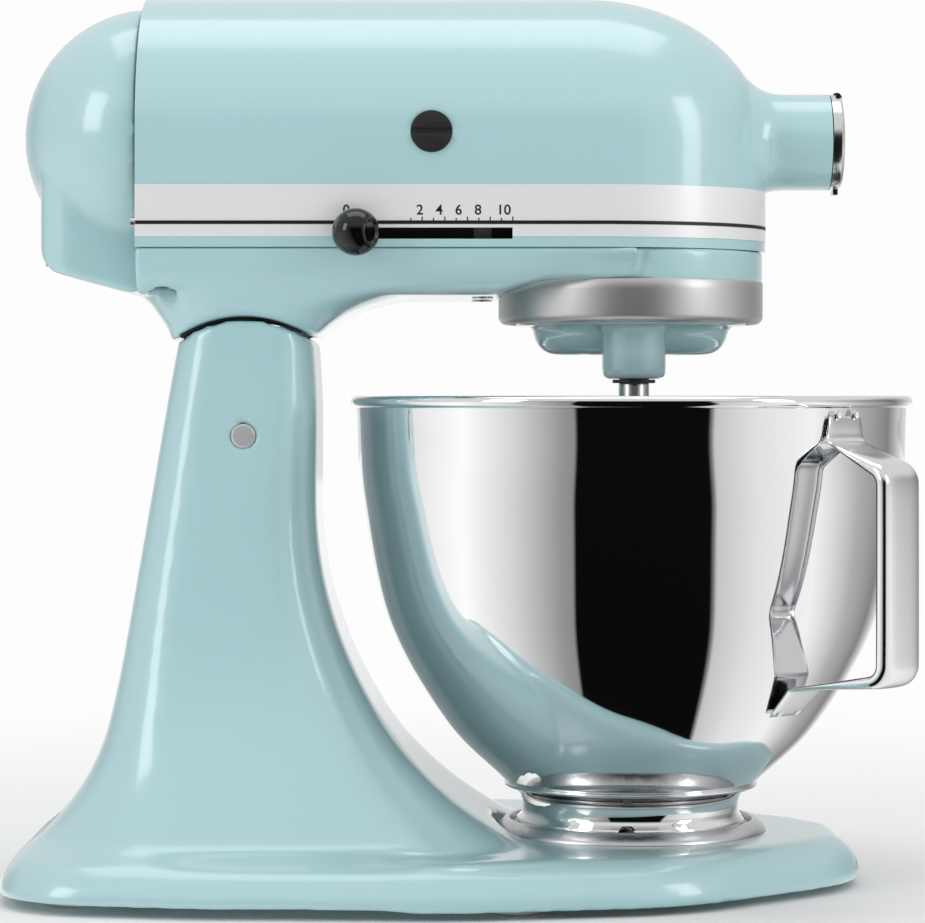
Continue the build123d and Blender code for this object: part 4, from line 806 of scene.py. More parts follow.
# ---------------------------------------------------------------- castings
@dataclass
class Castings:
    """The enamelled castings: the pedestal, the gearcase with its neck, and the rear cover.

    Args:
        pedestal_zones: Where the column runs into the foot, and the foot's shoulder.
        gearcase_zones: Where the neck and the round boss run into the tray.
        foot_corners: Corners of half the foot's plan outline.
        foot_radii: Radius at each inner corner of that outline.
        foot_bottom: Height of the foot's lower edge.
        platform: Height of the foot's flat top.
        cast_shoulder: Radius of the shoulder on the CAD casting.
        shoulder: Radius of the shoulder that the visible casting gets.
        rear_draw: How far the foot's rear corners are drawn in.
        lock_slot: Rear, front, half height and middle height of the lock lever's slot.
        hinge: X and height of the hinge axis.
        neck_arc: Radius of the neck's hollow round the hinge.
        flare: Height, rear, front and half width of each level of the neck's flare.
        screw_spots: X and Y of the pockets in the neck.
        pocket_r: Radius of those pockets.
        boss_x: X of the round boss.
        boss_share: Half width of the boss as a share of the tray's.
        flare_corner: Corner radius of the neck's flare at its base.
        flare_base: Height of that base.
        boss_margin: How far past the boss's middle the tray is narrowed.
        ease_top: Height above which the pedestal keeps its shape.
        ease_fade: Height over which the easing of the foot fades in below that.
        draw_from_x: X behind which the foot's corners are drawn in.
        draw_length: Length over which that sets in.
        draw_from_y: Distance from the middle at which it begins.
        draw_width: Width over which it sets in.
        tray_x: X at which the tray begins to narrow.
        tray_side: Distance from the middle at which a point counts as the tray's side.
        tray_top: Height below which the tray narrows.
        tray_fade: Height over which that sets in.
        shade_strip_gap: Distance of the painted-shade strip's middle from the neck's hollow.
        shade_strip_deg: First and last angle of the painted-shade strip about the hinge.
        shade_strip_half: Half width of the painted-shade strip.
        shade_strip_wall: Thickness of the painted-shade strip.
    """

    pedestal_zones: tuple[Zone, ...] = (
        Zone((-0.2, -0.2, 0.010), (-0.03, 0.2, 0.060), 0.012, 90),
        Zone((-0.2, -0.2, 0.010), (0.2, 0.2, 0.040), 0.006, 12),
    )
    gearcase_zones: tuple[Zone, ...] = (
        Zone((-0.105, -0.2, 0.216), (0.005, 0.2, 0.238), 0.010, 60),
        Zone((0.005, -0.2, 0.238), (0.080, 0.2, 0.246), 0.004, 50),
    )
    foot_corners: tuple[Point, ...] = (
        (-0.181, 0.0), (-0.181, 0.096), (-0.115, 0.108), (0.0, 0.112), (0.084, 0.097), (0.147, 0.044),
        (0.159, 0.022), (0.159, 0.0),
    )
    foot_radii: tuple[float, ...] = (0.032, 0.240, 0.200, 0.090, 0.055, 0.020)
    foot_bottom: float = 0.0025
    platform: float = 0.020
    cast_shoulder: float = 0.009
    shoulder: float = 0.0155
    rear_draw: float = 0.016
    lock_slot: tuple[float, float, float, float] = (-0.0943, -0.0671, 0.0044, 0.152)
    hinge: Point = (-0.0857, 0.1793)
    neck_arc: float = 0.0468
    flare: tuple[tuple[float, float, float, float], ...] = (
        (0.2120, -0.1139, -0.0607, 0.0450),
        (0.2180, -0.1153, -0.0575, 0.0457),
        (0.2230, -0.1177, -0.0525, 0.0472),
        (0.2275, -0.1210, -0.0455, 0.0490),
        (0.2310, -0.1235, -0.0365, 0.0506),
        (0.2335, -0.1250, -0.0260, 0.0517),
        (0.2355, -0.1258, -0.0120, 0.0525),
        (0.2368, -0.1262, 0.0040, 0.0530),
    )
    screw_spots: tuple[Point, ...] = ((-0.117, -0.047), (-0.117, 0.047))
    pocket_r: float = 0.0052
    boss_x: float = 0.068
    boss_share: float = 0.925
    flare_corner: float = 0.016
    flare_base: float = 0.212
    boss_margin: float = 0.004
    ease_top: float = 0.070
    ease_fade: float = 0.030
    draw_from_x: float = -0.060
    draw_length: float = 0.080
    draw_from_y: float = 0.040
    draw_width: float = 0.070
    tray_x: float = 0.012
    tray_side: float = 0.040
    tray_top: float = 0.2515
    tray_fade: float = 0.0055
    shade_strip_gap: float = 0.00055
    shade_strip_deg: Point = (123.0, 61.0)
    shade_strip_half: float = 0.039
    shade_strip_wall: float = 0.0009

    def build(self, bench: Bench) -> None:
        """Rework the castings and dress them in enamel."""
        outline = self._outline_tree()
        pedestal = bench.recast(
            "pedestal_casting", "pedestal", 0.0020, 3, self.pedestal_zones,
            cutter=self._slot_cutter(), shape=lambda spot: self._ease_foot(spot, outline),
        )
        bench.place(pedestal, ENAMEL, "enamel", "pedestal", ["pedestal"], 80.0)
        gearcase = bench.recast(
            "gearcase_casting", "lower_gearcase", 0.0012, 3, self.gearcase_zones, self._neck_flare(),
            shape=self._draw_in_tray,
        )
        bench.place(gearcase, ENAMEL, "enamel", "lower_gearcase", ["lower_gearcase"], 80.0)
        cover = bench.recast("rear_cover_casting", "rear_cover", 0.0015, 14)
        bench.place(cover, ENAMEL, "enamel", "rear_cover", ["rear_cover"], 80.0)
        shade_strip = self._gap_shade_strip(bench)
        LOG.info("castings: %s", [piece.name for piece in (pedestal, gearcase, cover, shade_strip)])

    def _slot_cutter(self) -> bpy.types.Object:
        """Build the body that clears the lock lever's slot."""
        rear, front, half, height = self.lock_slot
        rings = [rounded_ring(rear, front, half, half * 0.98, level, 64) for level in (-0.080, -0.020)]
        body = stack_rings("lock_slot_cutter", rings)
        return move_mesh(body, Matrix.Translation((0.0, 0.0, height)) @ Matrix.Rotation(math.pi / 2, 4, "X"))

    def _outline_tree(self) -> KDTree:
        """Points close together along the foot's outline, for measuring distances to it."""
        line = [Vector(spot) for spot in rounded_line(self.foot_corners, self.foot_radii, 12)]
        spots: list[Vector] = []
        for before, here in zip(line, line[1:]):
            steps = max(int((here - before).length / MM), 1)
            spots += [before.lerp(here, step / steps) for step in range(steps)]
        tree = KDTree(len(spots))
        for index, spot in enumerate(spots):
            tree.insert((spot.x, spot.y, 0.0), index)
        tree.balance()
        return tree

    def _shoulder_height(self, radius: float, inside: float) -> float:
        """Height of the foot's top at a distance inside its outline, for a shoulder of some radius."""
        rest = radius - min(max(inside, 0.0), radius)
        return self.platform - radius + math.sqrt(radius * radius - rest * rest)

    def _ease_foot(self, spot: Vector, outline: KDTree) -> Vector:
        """Move a point of the pedestal so that the foot has a fuller shoulder and drawn-in rear corners."""
        fade = unit((self.ease_top - spot.z) / self.ease_fade)
        if fade == 0.0:
            return spot
        inside = outline.find((spot.x, abs(spot.y), 0.0))[2]
        new = self._shoulder_height(self.shoulder, inside) - self.foot_bottom
        old = self._shoulder_height(self.cast_shoulder, inside) - self.foot_bottom
        height = self.foot_bottom + (spot.z - self.foot_bottom) * new / old
        rear = unit((self.draw_from_x - spot.x) / self.draw_length)
        wide = max(abs(spot.y) - self.draw_from_y, 0.0) / self.draw_width
        return Vector((spot.x + fade * self.rear_draw * rear * wide * wide, spot.y, height))

    def _neck_flare(self) -> bpy.types.Object:
        """Build the body that runs the neck into the tray, cut clear of the hinge and the screw pockets."""
        rings = [
            rounded_ring(rear, front, half, self.flare_corner + (height - self.flare_base) * 0.5, height, 96)
            for height, rear, front, half in self.flare
        ]
        body = stack_rings("neck_flare", rings)
        turn = Matrix.Translation((self.hinge[0], 0.0, self.hinge[1])) @ Matrix.Rotation(math.pi / 2, 4, "X")
        cut_out(body, cylinder(160, self.neck_arc, 0.3, turn))
        for x, y in self.screw_spots:
            cut_out(body, cylinder(48, self.pocket_r, 0.1, Matrix.Translation((x, y, 0.225))))
        return body

    def _draw_in_tray(self, spot: Vector) -> Vector:
        """Move a point of the tray so that its lower side narrows towards the round boss."""
        if abs(spot.y) < self.tray_side or spot.x >= self.boss_x + self.boss_margin:
            return spot
        along = unit((spot.x - self.tray_x) / (self.boss_x - self.tray_x))
        under = unit((self.tray_top - spot.z) / self.tray_fade)
        ease = along * along * (3 - 2 * along) * under * under * (3 - 2 * under)
        return Vector((spot.x, spot.y * (1.0 - (1.0 - self.boss_share) * ease), spot.z))

    def _gap_shade_strip(self, bench: Bench) -> bpy.types.Object:
        """Put a matt black strip in the neck's hollow over the column: painted shade that closes the gap
        there.
        """
        shade_strip = start_point("neck_gap_shade_strip")
        line = arc(self.hinge, self.neck_arc - self.shade_strip_gap, *self.shade_strip_deg, 40)
        draw_line([Vector((x, -self.shade_strip_half, z)) for x, z in line])
        bpy.ops.mesh.select_all(action="SELECT")
        bpy.ops.mesh.extrude_edges_move(TRANSFORM_OT_translate={"value": (0.0, 2 * self.shade_strip_half, 0.0)})
        tidy_shell(shade_strip)
        apply_modifier(shade_strip, "SOLIDIFY", thickness=self.shade_strip_wall, offset=0.0)
        # painted shade: this black strip is no part of the mixer, it stands for the dark gap between the neck
        # and the column
        return bench.place(shade_strip, MATT_BLACK, "black_matte", "lower_gearcase")


# ---------------------------------------------------------------- bowl
@dataclass
class Bowl:
    """The polished bowl: its wall with a rolled rim, its foot and its strap handle.

    Args:
        centre_x: X of the bowl's axis.
        wall: Thickness of the sheet.
        roll: Radius of the rolled rim.
        seam: Radius and height at which the wall meets the foot.
        shares: Radius, as a share of the rim's, and height above the seam, of points on the wall.
        azimuth_deg: Direction of the handle.
        strap_width: Width of the handle's strap.
        strap_wall: Thickness of the handle's strap.
        lip: Depth of the handle's turned-in edges.
        lip_least: Depth of the turned-in edges on the tabs.
        lip_from: Distance from the axis at which the edges begin to deepen.
        lip_fade: Distance over which they reach their full depth.
        tab_top: Height of the upper tab's end.
        grip_top: Height of the grip's upper corner.
        grip_bottom: Height of the grip's lower corner.
        tab_bottom: Height of the lower tab's end.
        reach: Distance of the grip from the bowl's axis.
        tab_end: Width of a tab's end, as a share of the strap's.
        tab_root: Width of a tab beside its end.
        weld_side: Distance of a weld from the strap's middle.
        bead_r: Radius of the seam's bead.
        arch_r: Radius of the arches in the foot.
        arch_out: Distance of the arches from the axis.
        arch_lead_deg: Azimuth of the first arch past the handle's.
        outer: Points on the outside of the wall, filled in when it is built.
    """

    centre_x: float = 0.068
    wall: float = 0.0012
    roll: float = 0.0024
    seam: Point = (0.050, 0.039)
    shares: tuple[Point, ...] = ((0.662, 0.0246), (0.867, 0.065), (0.959, 0.114))
    azimuth_deg: float = -46.0
    strap_width: float = 0.021
    strap_wall: float = 0.0013
    lip: float = 0.0042
    lip_least: float = 0.0004
    lip_from: float = 0.1125
    lip_fade: float = 0.012
    tab_top: float = 0.1925
    grip_top: float = 0.167
    grip_bottom: float = 0.087
    tab_bottom: float = 0.070
    reach: float = 0.140
    tab_end: float = 0.84
    tab_root: float = 0.98
    weld_side: float = 0.0052
    bead_r: float = 0.0009
    arch_r: float = 0.0042
    arch_out: float = 0.045
    arch_lead_deg: float = 41.0
    outer: list[Point] = field(default_factory=list)

    def build(self, bench: Bench) -> None:
        """Build and dress the wall, the foot, the bead and the handle."""
        low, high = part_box("bowl")
        rim = (high.x - low.x) / 2
        pieces = [
            self._wall(bench, rim, high.z),
            self._foot(bench),
            self._bead(bench),
            self._handle(bench),
            *self._welds(bench),
        ]
        LOG.info("bowl: %s", [piece.name for piece in pieces])

    def _wall(self, bench: Bench, rim: float, top: float) -> bpy.types.Object:
        """Turn the wall, from the middle of the inside over the rolled rim to the middle of the underside."""
        roll_r = rim - self.roll
        roll_z = top - self.roll
        knots = [self.seam]
        knots += [(rim * share, self.seam[1] + rise) for share, rise in self.shares]
        knots.append((roll_r, roll_z - self.roll))
        self.outer = spread(knots, 14)
        inner = []
        for before, here in zip(self.outer, self.outer[1:]):
            along = (Vector(here) - Vector(before)).normalized()
            inner.append((before[0] - along.y * self.wall, before[1] + along.x * self.wall))
        floor = self.seam[1] - 0.0018
        inside = [(0.0, floor), (0.020, floor), (0.036, floor), (0.043, floor + 0.0006)]
        curl = arc((roll_r, roll_z), self.roll, 200.0, -84.0, 22)
        under = [(0.046, floor - 0.0006), (0.040, floor - self.wall), (0.020, floor - self.wall)]
        profile = inside + inner[1:-1] + curl + self.outer[::-1] + under + [(0.0, floor - self.wall)]
        wall = lathe("bowl_wall", profile, 192)
        move_mesh(wall, Matrix.Translation((self.centre_x, 0.0, 0.0)))
        return bench.place(wall, MIRROR, "bowl_steel", "bowl", ["bowl"], 50.0)

    def _foot(self, bench: Bench) -> bpy.types.Object:
        """Turn the flared foot and cut the four arches at its lower edge."""
        low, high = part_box("bowl_foot")
        z0 = low.z
        side = [
            (0.0455, z0), (0.0460, z0 + 0.0006), (0.0462, z0 + 0.0022), (0.0458, z0 + 0.0034),
            (0.0440, z0 + 0.0048), (0.0436, z0 + 0.0070), (0.0438, z0 + 0.0100), (0.0448, z0 + 0.0128),
            (0.0470, z0 + 0.0150), (0.0496, high.z - 0.0012), (0.0508, high.z - 0.0004), (0.0504, high.z),
        ]
        inner = [(radius - self.wall, height) for radius, height in side[::-1]]
        foot = lathe("bowl_foot_flare", side + inner, 160, closed=True)
        move_mesh(foot, Matrix.Translation((self.centre_x, 0.0, 0.0)))
        for index in range(4):
            azimuth = math.radians(self.azimuth_deg + self.arch_lead_deg + index * 90.0)
            turn = Matrix.Rotation(azimuth, 4, "Z") @ Matrix.Rotation(math.pi / 2, 4, "Y")
            away = self.arch_out
            spot = Vector((self.centre_x + away * math.cos(azimuth), away * math.sin(azimuth), z0))
            cut_out(foot, cylinder(32, self.arch_r, 0.02, Matrix.Translation(spot) @ turn))
        return bench.place(foot, MIRROR, "bowl_steel", "bowl_foot", ["bowl_foot"], 50.0)

    def _bead(self, bench: Bench) -> bpy.types.Object:
        """Turn the welded bead where the wall meets the foot."""
        middle = (self.seam[0] + 0.0004, self.seam[1] - 0.0002)
        bead = lathe("bowl_seam_bead", arc(middle, self.bead_r, 0, 330, 11), 160, True)
        move_mesh(bead, Matrix.Translation((self.centre_x, 0.0, 0.0)))
        return bench.place(bead, STRAP, "bowl_steel", "bowl", (), 60.0)

    def _wall_spot(self, height: float, depth: float) -> tuple[Vector, Vector]:
        """Point off the outside of the wall at a height, and the outward normal there."""
        index = min(range(1, len(self.outer) - 1), key=lambda i: abs(self.outer[i][1] - height))
        here = Vector(self.outer[index])
        along = (Vector(self.outer[index + 1]) - Vector(self.outer[index - 1])).normalized()
        normal = Vector((along.y, -along.x))
        return here + normal * depth, normal

    def _route(self) -> list[Point]:
        """Middle line of the strap in the handle's plane."""
        off = self.strap_wall / 2 + 0.0002
        far = self.reach - self.strap_wall / 2
        upper = self._wall_spot(self.tab_top, off)[0]
        upper_end = self._wall_spot(self.grip_top + 0.010, off)[0]
        lower_end = self._wall_spot(self.tab_bottom + 0.014, off)[0]
        lower = self._wall_spot(self.tab_bottom, off)[0]
        corners = [
            tuple(upper),
            tuple(upper_end),
            (far, self.grip_top + 0.001),
            (far, self.grip_bottom - 0.001),
            (lower_end.x + 0.003, self.grip_bottom - 0.004),
            tuple(lower),
        ]
        return rounded_line(corners, [0.004, 0.009, 0.009, 0.005], 8)

    def _handle(self, bench: Bench) -> bpy.types.Object:
        """Extrude the strap's section along its route, with turned-in edges on the grip."""
        route = self._route()
        half = self.strap_width / 2
        section = [(-half, 1.0), (-half, 0.35), (-half + 0.0011, 0.0), (0.0, 0.0)]
        section += [(half - 0.0011, 0.0), (half, 0.35), (half, 1.0)]
        piece = start_point("bowl_strap_handle")
        lips = self._lips(route)
        rows = [self._row(route, index, section, lips[index]) for index in range(len(route))]
        draw_line([Vector((index * MM, 0.0, 0.0)) for index in range(len(section))])
        bpy.ops.mesh.select_all(action="SELECT")
        for _ in rows[1:]:
            bpy.ops.mesh.extrude_edges_move(TRANSFORM_OT_translate={"value": (0.0, 0.0, MM)})
        bpy.ops.object.mode_set(mode="OBJECT")
        for point in piece.data.vertices:
            place, row = round(point.co.x / MM), round(point.co.z / MM)
            point.co = rows[row][place]
        tidy_shell(piece)
        apply_modifier(piece, "SOLIDIFY", thickness=self.strap_wall, offset=0.0)
        subdivide(piece, 2)
        turn = Matrix.Rotation(math.radians(self.azimuth_deg), 4, "Z")
        move_mesh(piece, Matrix.Translation((self.centre_x, 0.0, 0.0)) @ turn)
        return bench.place(piece, STRAP, "bowl_steel", "bowl_handle", ["bowl_handle"], 60.0)

    def _lips(self, route: Sequence[Point]) -> list[float]:
        """Depth of the turned-in edges along the route: none on the tabs, full on the grip."""
        depths = []
        for radius, height in route:
            inside = unit((radius - self.lip_from) / self.lip_fade)
            depths.append(self.lip_least + self.lip * inside * inside * (3 - 2 * inside))
        return depths

    def _row(self, route: Sequence[Point], index: int, section: Sequence[Point], lip: float) -> list[Vector]:
        """One row of the strap: its section set square to the route."""
        here = Vector(route[index])
        before = Vector(route[max(index - 1, 0)])
        after = Vector(route[min(index + 1, len(route) - 1)])
        along = (after - before).normalized()
        inward = Vector((along.y, -along.x))
        last = len(route) - 1
        taper = 1.0
        if index in (0, last):
            taper = self.tab_end
        elif index <= 2 or index >= last - 2:
            taper = self.tab_root
        row = []
        for across, depth in section:
            spot = here + inward * (lip * depth)
            row.append(Vector((spot.x, across * taper, spot.y)))
        return row

    def _welds(self, bench: Bench) -> list[bpy.types.Object]:
        """Press the four weld dimples into the two tabs."""
        profile = [
            (0.0, 0.00005), (0.0007, 0.0001), (0.0012, 0.0004), (0.0016, 0.00045), (0.0020, 0.0), (0.0, 0.0),
        ]
        welds = []
        for index, height in enumerate((self.tab_top - 0.004, self.tab_bottom + 0.005)):
            for side in (-1, 1):
                spot, normal = self._wall_spot(height, self.strap_wall + 0.0003)
                weld = lathe(f"handle_weld_{index}_{'left' if side < 0 else 'right'}", profile, 24)
                out = Vector((normal.x, 0.0, normal.y))
                aim = out.to_track_quat("Z", "Y").to_matrix().to_4x4()
                at = Matrix.Translation((spot.x, side * self.weld_side, spot.y)) @ aim
                turn = Matrix.Rotation(math.radians(self.azimuth_deg), 4, "Z")
                move_mesh(weld, Matrix.Translation((self.centre_x, 0.0, 0.0)) @ turn @ at)
                welds.append(bench.place(weld, STRAP, "bowl_steel", "bowl_handle"))
        return welds


# ---------------------------------------------------------------- drip ring and planetary
@dataclass
class BeaterEnd:
    """What hangs under the head: the drip ring, the planetary hub, the washer and the beater shaft.

    Args:
        centre_x: X of the planetary's axis.
        ring_wall: Thickness of the drip ring's sheet.
        edge: Radius of the drip ring's lower edge.
    """

    centre_x: float = 0.068
    ring_wall: float = 0.0012
    edge: float = 0.0032

    def build(self, bench: Bench) -> None:
        """Build and dress the pieces."""
        pieces = [self._ring(bench), self._planetary(bench), self._washer(bench), self._shaft(bench)]
        LOG.info("beater end: %s", [piece.name for piece in pieces])

    def _ring(self, bench: Bench) -> bpy.types.Object:
        """Turn the drip ring with its rolled lower edge."""
        low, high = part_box("drip_ring")
        radius = (high.x - low.x) / 2
        inner = radius - self.ring_wall
        turn = arc((radius - self.edge, low.z + self.edge), self.edge, 0.0, -90.0, 8)
        inside = arc((radius - self.edge, low.z + self.edge), self.edge - self.ring_wall, -90.0, 0.0, 6)
        profile = [(radius - 0.0003, high.z), (radius, high.z - 0.0004), (radius, high.z - 0.004)]
        profile += turn + [(radius - 0.0047, low.z + 0.0002), (radius - 0.0047, low.z + self.ring_wall)]
        profile += inside + [(inner, high.z - 0.004), (inner, high.z)]
        ring = lathe("drip_ring_band", profile, 160, closed=True)
        move_mesh(ring, Matrix.Translation((self.centre_x, 0.0, 0.0)))
        return bench.place(ring, BRUSHED, "brushed_steel", "drip_ring", ["drip_ring"], 45.0)

    def _planetary(self, bench: Bench) -> bpy.types.Object:
        """Rework the planetary hub so that its lobes and boss run into each other."""
        hub = bench.recast("planetary_hub", "planetary", 0.0011, 16)
        return bench.place(hub, ENAMEL, "enamel", "planetary", ["planetary"], 80.0)

    def _washer(self, bench: Bench) -> bpy.types.Object:
        """Break the edges of the black washer."""
        washer = bench.soften("shaft_washer", "beater_shaft_washer", 0.0003)
        return bench.place(washer, MATT_BLACK, "black_matte", "beater_shaft_washer", ["beater_shaft_washer"])

    def _shaft(self, bench: Bench) -> bpy.types.Object:
        """Break the edges of the beater shaft."""
        shaft = bench.soften("beater_shaft_body", "beater_shaft", 0.0003)
        return bench.place(shaft, GROUND_STEEL, "shaft_steel", "beater_shaft", ["beater_shaft"])


# ---------------------------------------------------------------- trim band and its marks
@dataclass
class TrimMarks:
    """The black line, the speed marks and the numerals on the trim band.

    Args:
        side: Half width of the band.
        rear: X of the band's rear end.
        nose_start: X at which the nose begins.
        nose_length: Length of the nose.
        line_z: Height of the black line.
        line_height: Height of the line's strip.
        numeral_height: Height of the numerals.
        numeral_z: Height of the numerals' feet.
        numerals: Each numeral and its X.
        slot_end: X of the slot's front end.
        proud: How far the marks stand out of the band.
    """

    side: float = 0.0577
    rear: float = -0.127
    nose_start: float = 0.050
    nose_length: float = 0.0725
    line_z: float = 0.2622
    line_height: float = 0.0014
    numeral_height: float = 0.0040
    numeral_z: float = 0.2652
    numerals: tuple[tuple[str, float], ...] = (
        ("0", -0.0450), ("2", -0.0165), ("4", -0.0090), ("6", -0.0015), ("8", 0.0060), ("10", 0.0160),
    )
    slot_end: float = 0.0195
    proud: float = 0.00005

    def build(self, bench: Bench) -> None:
        """Build and dress the marks."""
        self._line(bench)
        self._numerals(bench)
        self._ticks(bench)
        LOG.info("trim marks: line, %d numerals and ticks", len(self.numerals))

    def _outline(self, proud: float, steps: int) -> list[Point]:
        """Outline of the band in plan, from one rear end round the nose to the other."""
        half = [(self.rear + 0.0002, self.side + proud), (self.nose_start, self.side + proud)]
        for step in range(1, steps + 1):
            angle = math.pi / 2 * (1 - step / steps)
            x = self.nose_start + (self.nose_length + proud) * math.cos(angle)
            half.append((x, (self.side + proud) * math.sin(angle)))
        return half + [(x, -y) for x, y in half[-2::-1]]

    def _line(self, bench: Bench) -> None:
        """Draw the line's outline, extrude it up and give it its thickness."""
        line = start_point("band_black_line")
        foot = self.line_z - self.line_height / 2
        draw_line([Vector((x, y, foot)) for x, y in self._outline(self.proud, 28)])
        bpy.ops.mesh.select_all(action="SELECT")
        bpy.ops.mesh.extrude_edges_move(TRANSFORM_OT_translate={"value": (0.0, 0.0, self.line_height)})
        tidy_shell(line)
        apply_modifier(line, "SOLIDIFY", thickness=0.00016, offset=0.0, use_even_offset=True)
        bench.place(line, PRINT, "black_matte", "trim_band")

    def _numerals(self, bench: Bench) -> None:
        """Set the numerals on both sides of the band."""
        for side in (-1, 1):
            for text, x in self.numerals:
                clear_selection()
                bpy.ops.object.text_add(location=(0.0, 0.0, 0.0))
                letter = bpy.context.object
                letter.data.body = text
                letter.data.align_x = "CENTER"
                letter.data.size = self.numeral_height * 1.38
                letter.data.extrude = 0.00004
                letter.data.offset = 0.00006
                bpy.ops.object.convert(target="MESH")
                piece = bpy.context.object
                piece.name = f"numeral_{text}_{'near' if side < 0 else 'far'}"
                turn = Matrix.Rotation(math.radians(0 if side < 0 else 180), 4, "Z")
                spot = Matrix.Translation((x, side * (self.side + self.proud), self.numeral_z))
                move_mesh(piece, spot @ turn @ Matrix.Rotation(math.pi / 2, 4, "X"))
                tidy_shell(piece, 0.0000005)
                bench.place(piece, PRINT, "black_matte", "trim_band")

    def _ticks(self, bench: Bench) -> None:
        """Set the small marks over the slot, one for each speed, on the side with the lever."""
        first, last = self.numerals[1][1] - 0.0035, self.slot_end
        for index in range(10):
            x = first + (last - first) * index / 9
            clear_selection()
            bpy.ops.mesh.primitive_cube_add(size=1.0, location=(0.0, 0.0, 0.0))
            tick = bpy.context.object
            tick.name = f"speed_tick_{index}"
            tall = 0.0016 if index % 2 else 0.0011
            size = Matrix.Diagonal((0.00045, 0.00012, tall, 1.0))
            spot = Matrix.Translation((x, -self.side - 0.00004, self.line_z + 0.0006 + tall / 2))
            move_mesh(tick, spot @ size)
            apply_modifier(tick, "BEVEL", width=0.00003, segments=2)
            bench.place(tick, PRINT, "black_matte", "trim_band")


# ---------------------------------------------------------------- controls and small metal pieces
@dataclass
class Controls:
    """Knobs, caps, pins and the hub's cover.

    Args:
        finger_share: How far along the ball its finger face is cut, as a share of its radius.
        finger_turn_deg: Direction of that face, from the front towards the near side.
        tray_floor: Height of the tray's underside.
        front_screws_x: X behind which the rear gearcase screws lie.
        head_share: How much of the front screws' heads stays below the tray.
        barrel_r: Radius of the hub's barrel.
    """

    finger_share: float = 0.78
    finger_turn_deg: float = -28.0
    tray_floor: float = 0.2342
    front_screws_x: float = -0.050
    head_share: float = 0.25
    barrel_r: float = 0.0194

    def build(self, bench: Bench) -> None:
        """Build and dress the pieces."""
        self._speed_knob(bench)
        rows = (
            ("brush_cap_discs", "brush_caps", 0.0004, MATT_BLACK, "black_matte"),
            ("hinge_pin_body", "hinge_pin", 0.0004, PIN_STEEL, "shaft_steel"),
            ("clamp_plate_dish", "bowl_clamp_plate", 0.0004, SATIN, "brushed_steel"),
            ("hub_cover_disc", "hub_cover", 0.0005, CHROME, "chrome"),
            ("thumbscrew_knob", "attachment_knob", 0.0003, MATT_BLACK, "black_matte"),
            ("lock_knob", "head_lock_knob", 0.0004, MATT_BLACK, "black_matte"),
        )
        for name, node, width, finish, slot in rows:
            piece = bench.soften(name, node, width)
            bench.place(piece, finish, slot, node, [node])
        self._gearcase_screws(bench)
        self._hub_root(bench)
        LOG.info("controls: speed knob and %s", [row[0] for row in rows])

    def _gearcase_screws(self, bench: Bench) -> None:
        """Sink the heads of the two front screws into the tray's underside."""
        screws = bench.copy_node("gearcase_screw_set", "gearcase_screws")
        for point in screws.data.vertices:
            if point.co.z < self.tray_floor and point.co.x > self.front_screws_x:
                point.co.z = self.tray_floor - (self.tray_floor - point.co.z) * self.head_share
        bench.place(screws, SATIN, "brushed_steel", "gearcase_screws", ["gearcase_screws"])

    def _hub_root(self, bench: Bench) -> None:
        """Turn the hollow sweep where the hub's barrel leaves the nose."""
        low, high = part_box("hub_sleeve")
        barrel = self.barrel_r
        rise = (
            (0.1290, 0.00005), (0.1262, 0.0003), (0.1238, 0.0008), (0.1215, 0.0016), (0.1194, 0.0028),
            (0.1174, 0.0043), (0.1154, 0.0060), (0.1130, 0.0075),
        )
        profile = [(barrel + out, x) for x, out in spread(rise, 4)]
        profile += [(barrel + 0.0070, 0.1100), (barrel - 0.0012, 0.1100), (barrel - 0.0012, 0.1290)]
        root = lathe("hub_root_sweep", profile, 128, closed=True)
        turn = Matrix.Rotation(math.pi / 2, 4, "Y")
        move_mesh(root, Matrix.Translation((0.0, (low.y + high.y) / 2, (low.z + high.z) / 2)) @ turn)
        bench.place(root, ENAMEL, "enamel", "upper_housing", (), 40.0)

    def _speed_knob(self, bench: Bench) -> None:
        """Shape the ball knob: a sphere with a flat finger face towards the front."""
        low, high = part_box("speed_knob")
        centre = (low + high) / 2
        radius = (high.x - low.x) / 2
        clear_selection()
        bpy.ops.mesh.primitive_uv_sphere_add(segments=48, ring_count=24, radius=radius, location=(0, 0, 0))
        ball = bpy.context.object
        ball.name = "speed_ball_knob"
        move_mesh(ball, Matrix.Rotation(math.pi / 2, 4, "Y"))
        bpy.ops.object.mode_set(mode="EDIT")
        bpy.ops.mesh.select_all(action="SELECT")
        cut = radius * self.finger_share
        bpy.ops.mesh.bisect(plane_co=(cut, 0, 0), plane_no=(1, 0, 0), use_fill=True, clear_outer=True)
        bpy.ops.mesh.inset(thickness=radius * 0.08, depth=0.0)
        bpy.ops.mesh.inset(thickness=radius * 0.10, depth=-radius * 0.09)
        bpy.ops.object.mode_set(mode="OBJECT")
        apply_modifier(ball, "BEVEL", width=radius * 0.05, segments=3, limit_method="ANGLE", angle_limit=0.35)
        turn = Matrix.Rotation(math.radians(self.finger_turn_deg), 4, "Z")
        move_mesh(ball, Matrix.Translation(centre) @ turn)
        tidy_shell(ball)
        bench.place(ball, GLOSS_BLACK, "black_gloss", "speed_knob", ["speed_knob"], 50.0)


def dress_carried(bench: Bench) -> None:
    """Give every CAD node that stays visible its own finish."""
    for finish, nodes in CARRIED:
        for node in nodes:
            bench.paint(bench.frame["nodes"][node], finish)
    LOG.info("carried nodes dressed: %d", sum(len(nodes) for _, nodes in CARRIED))


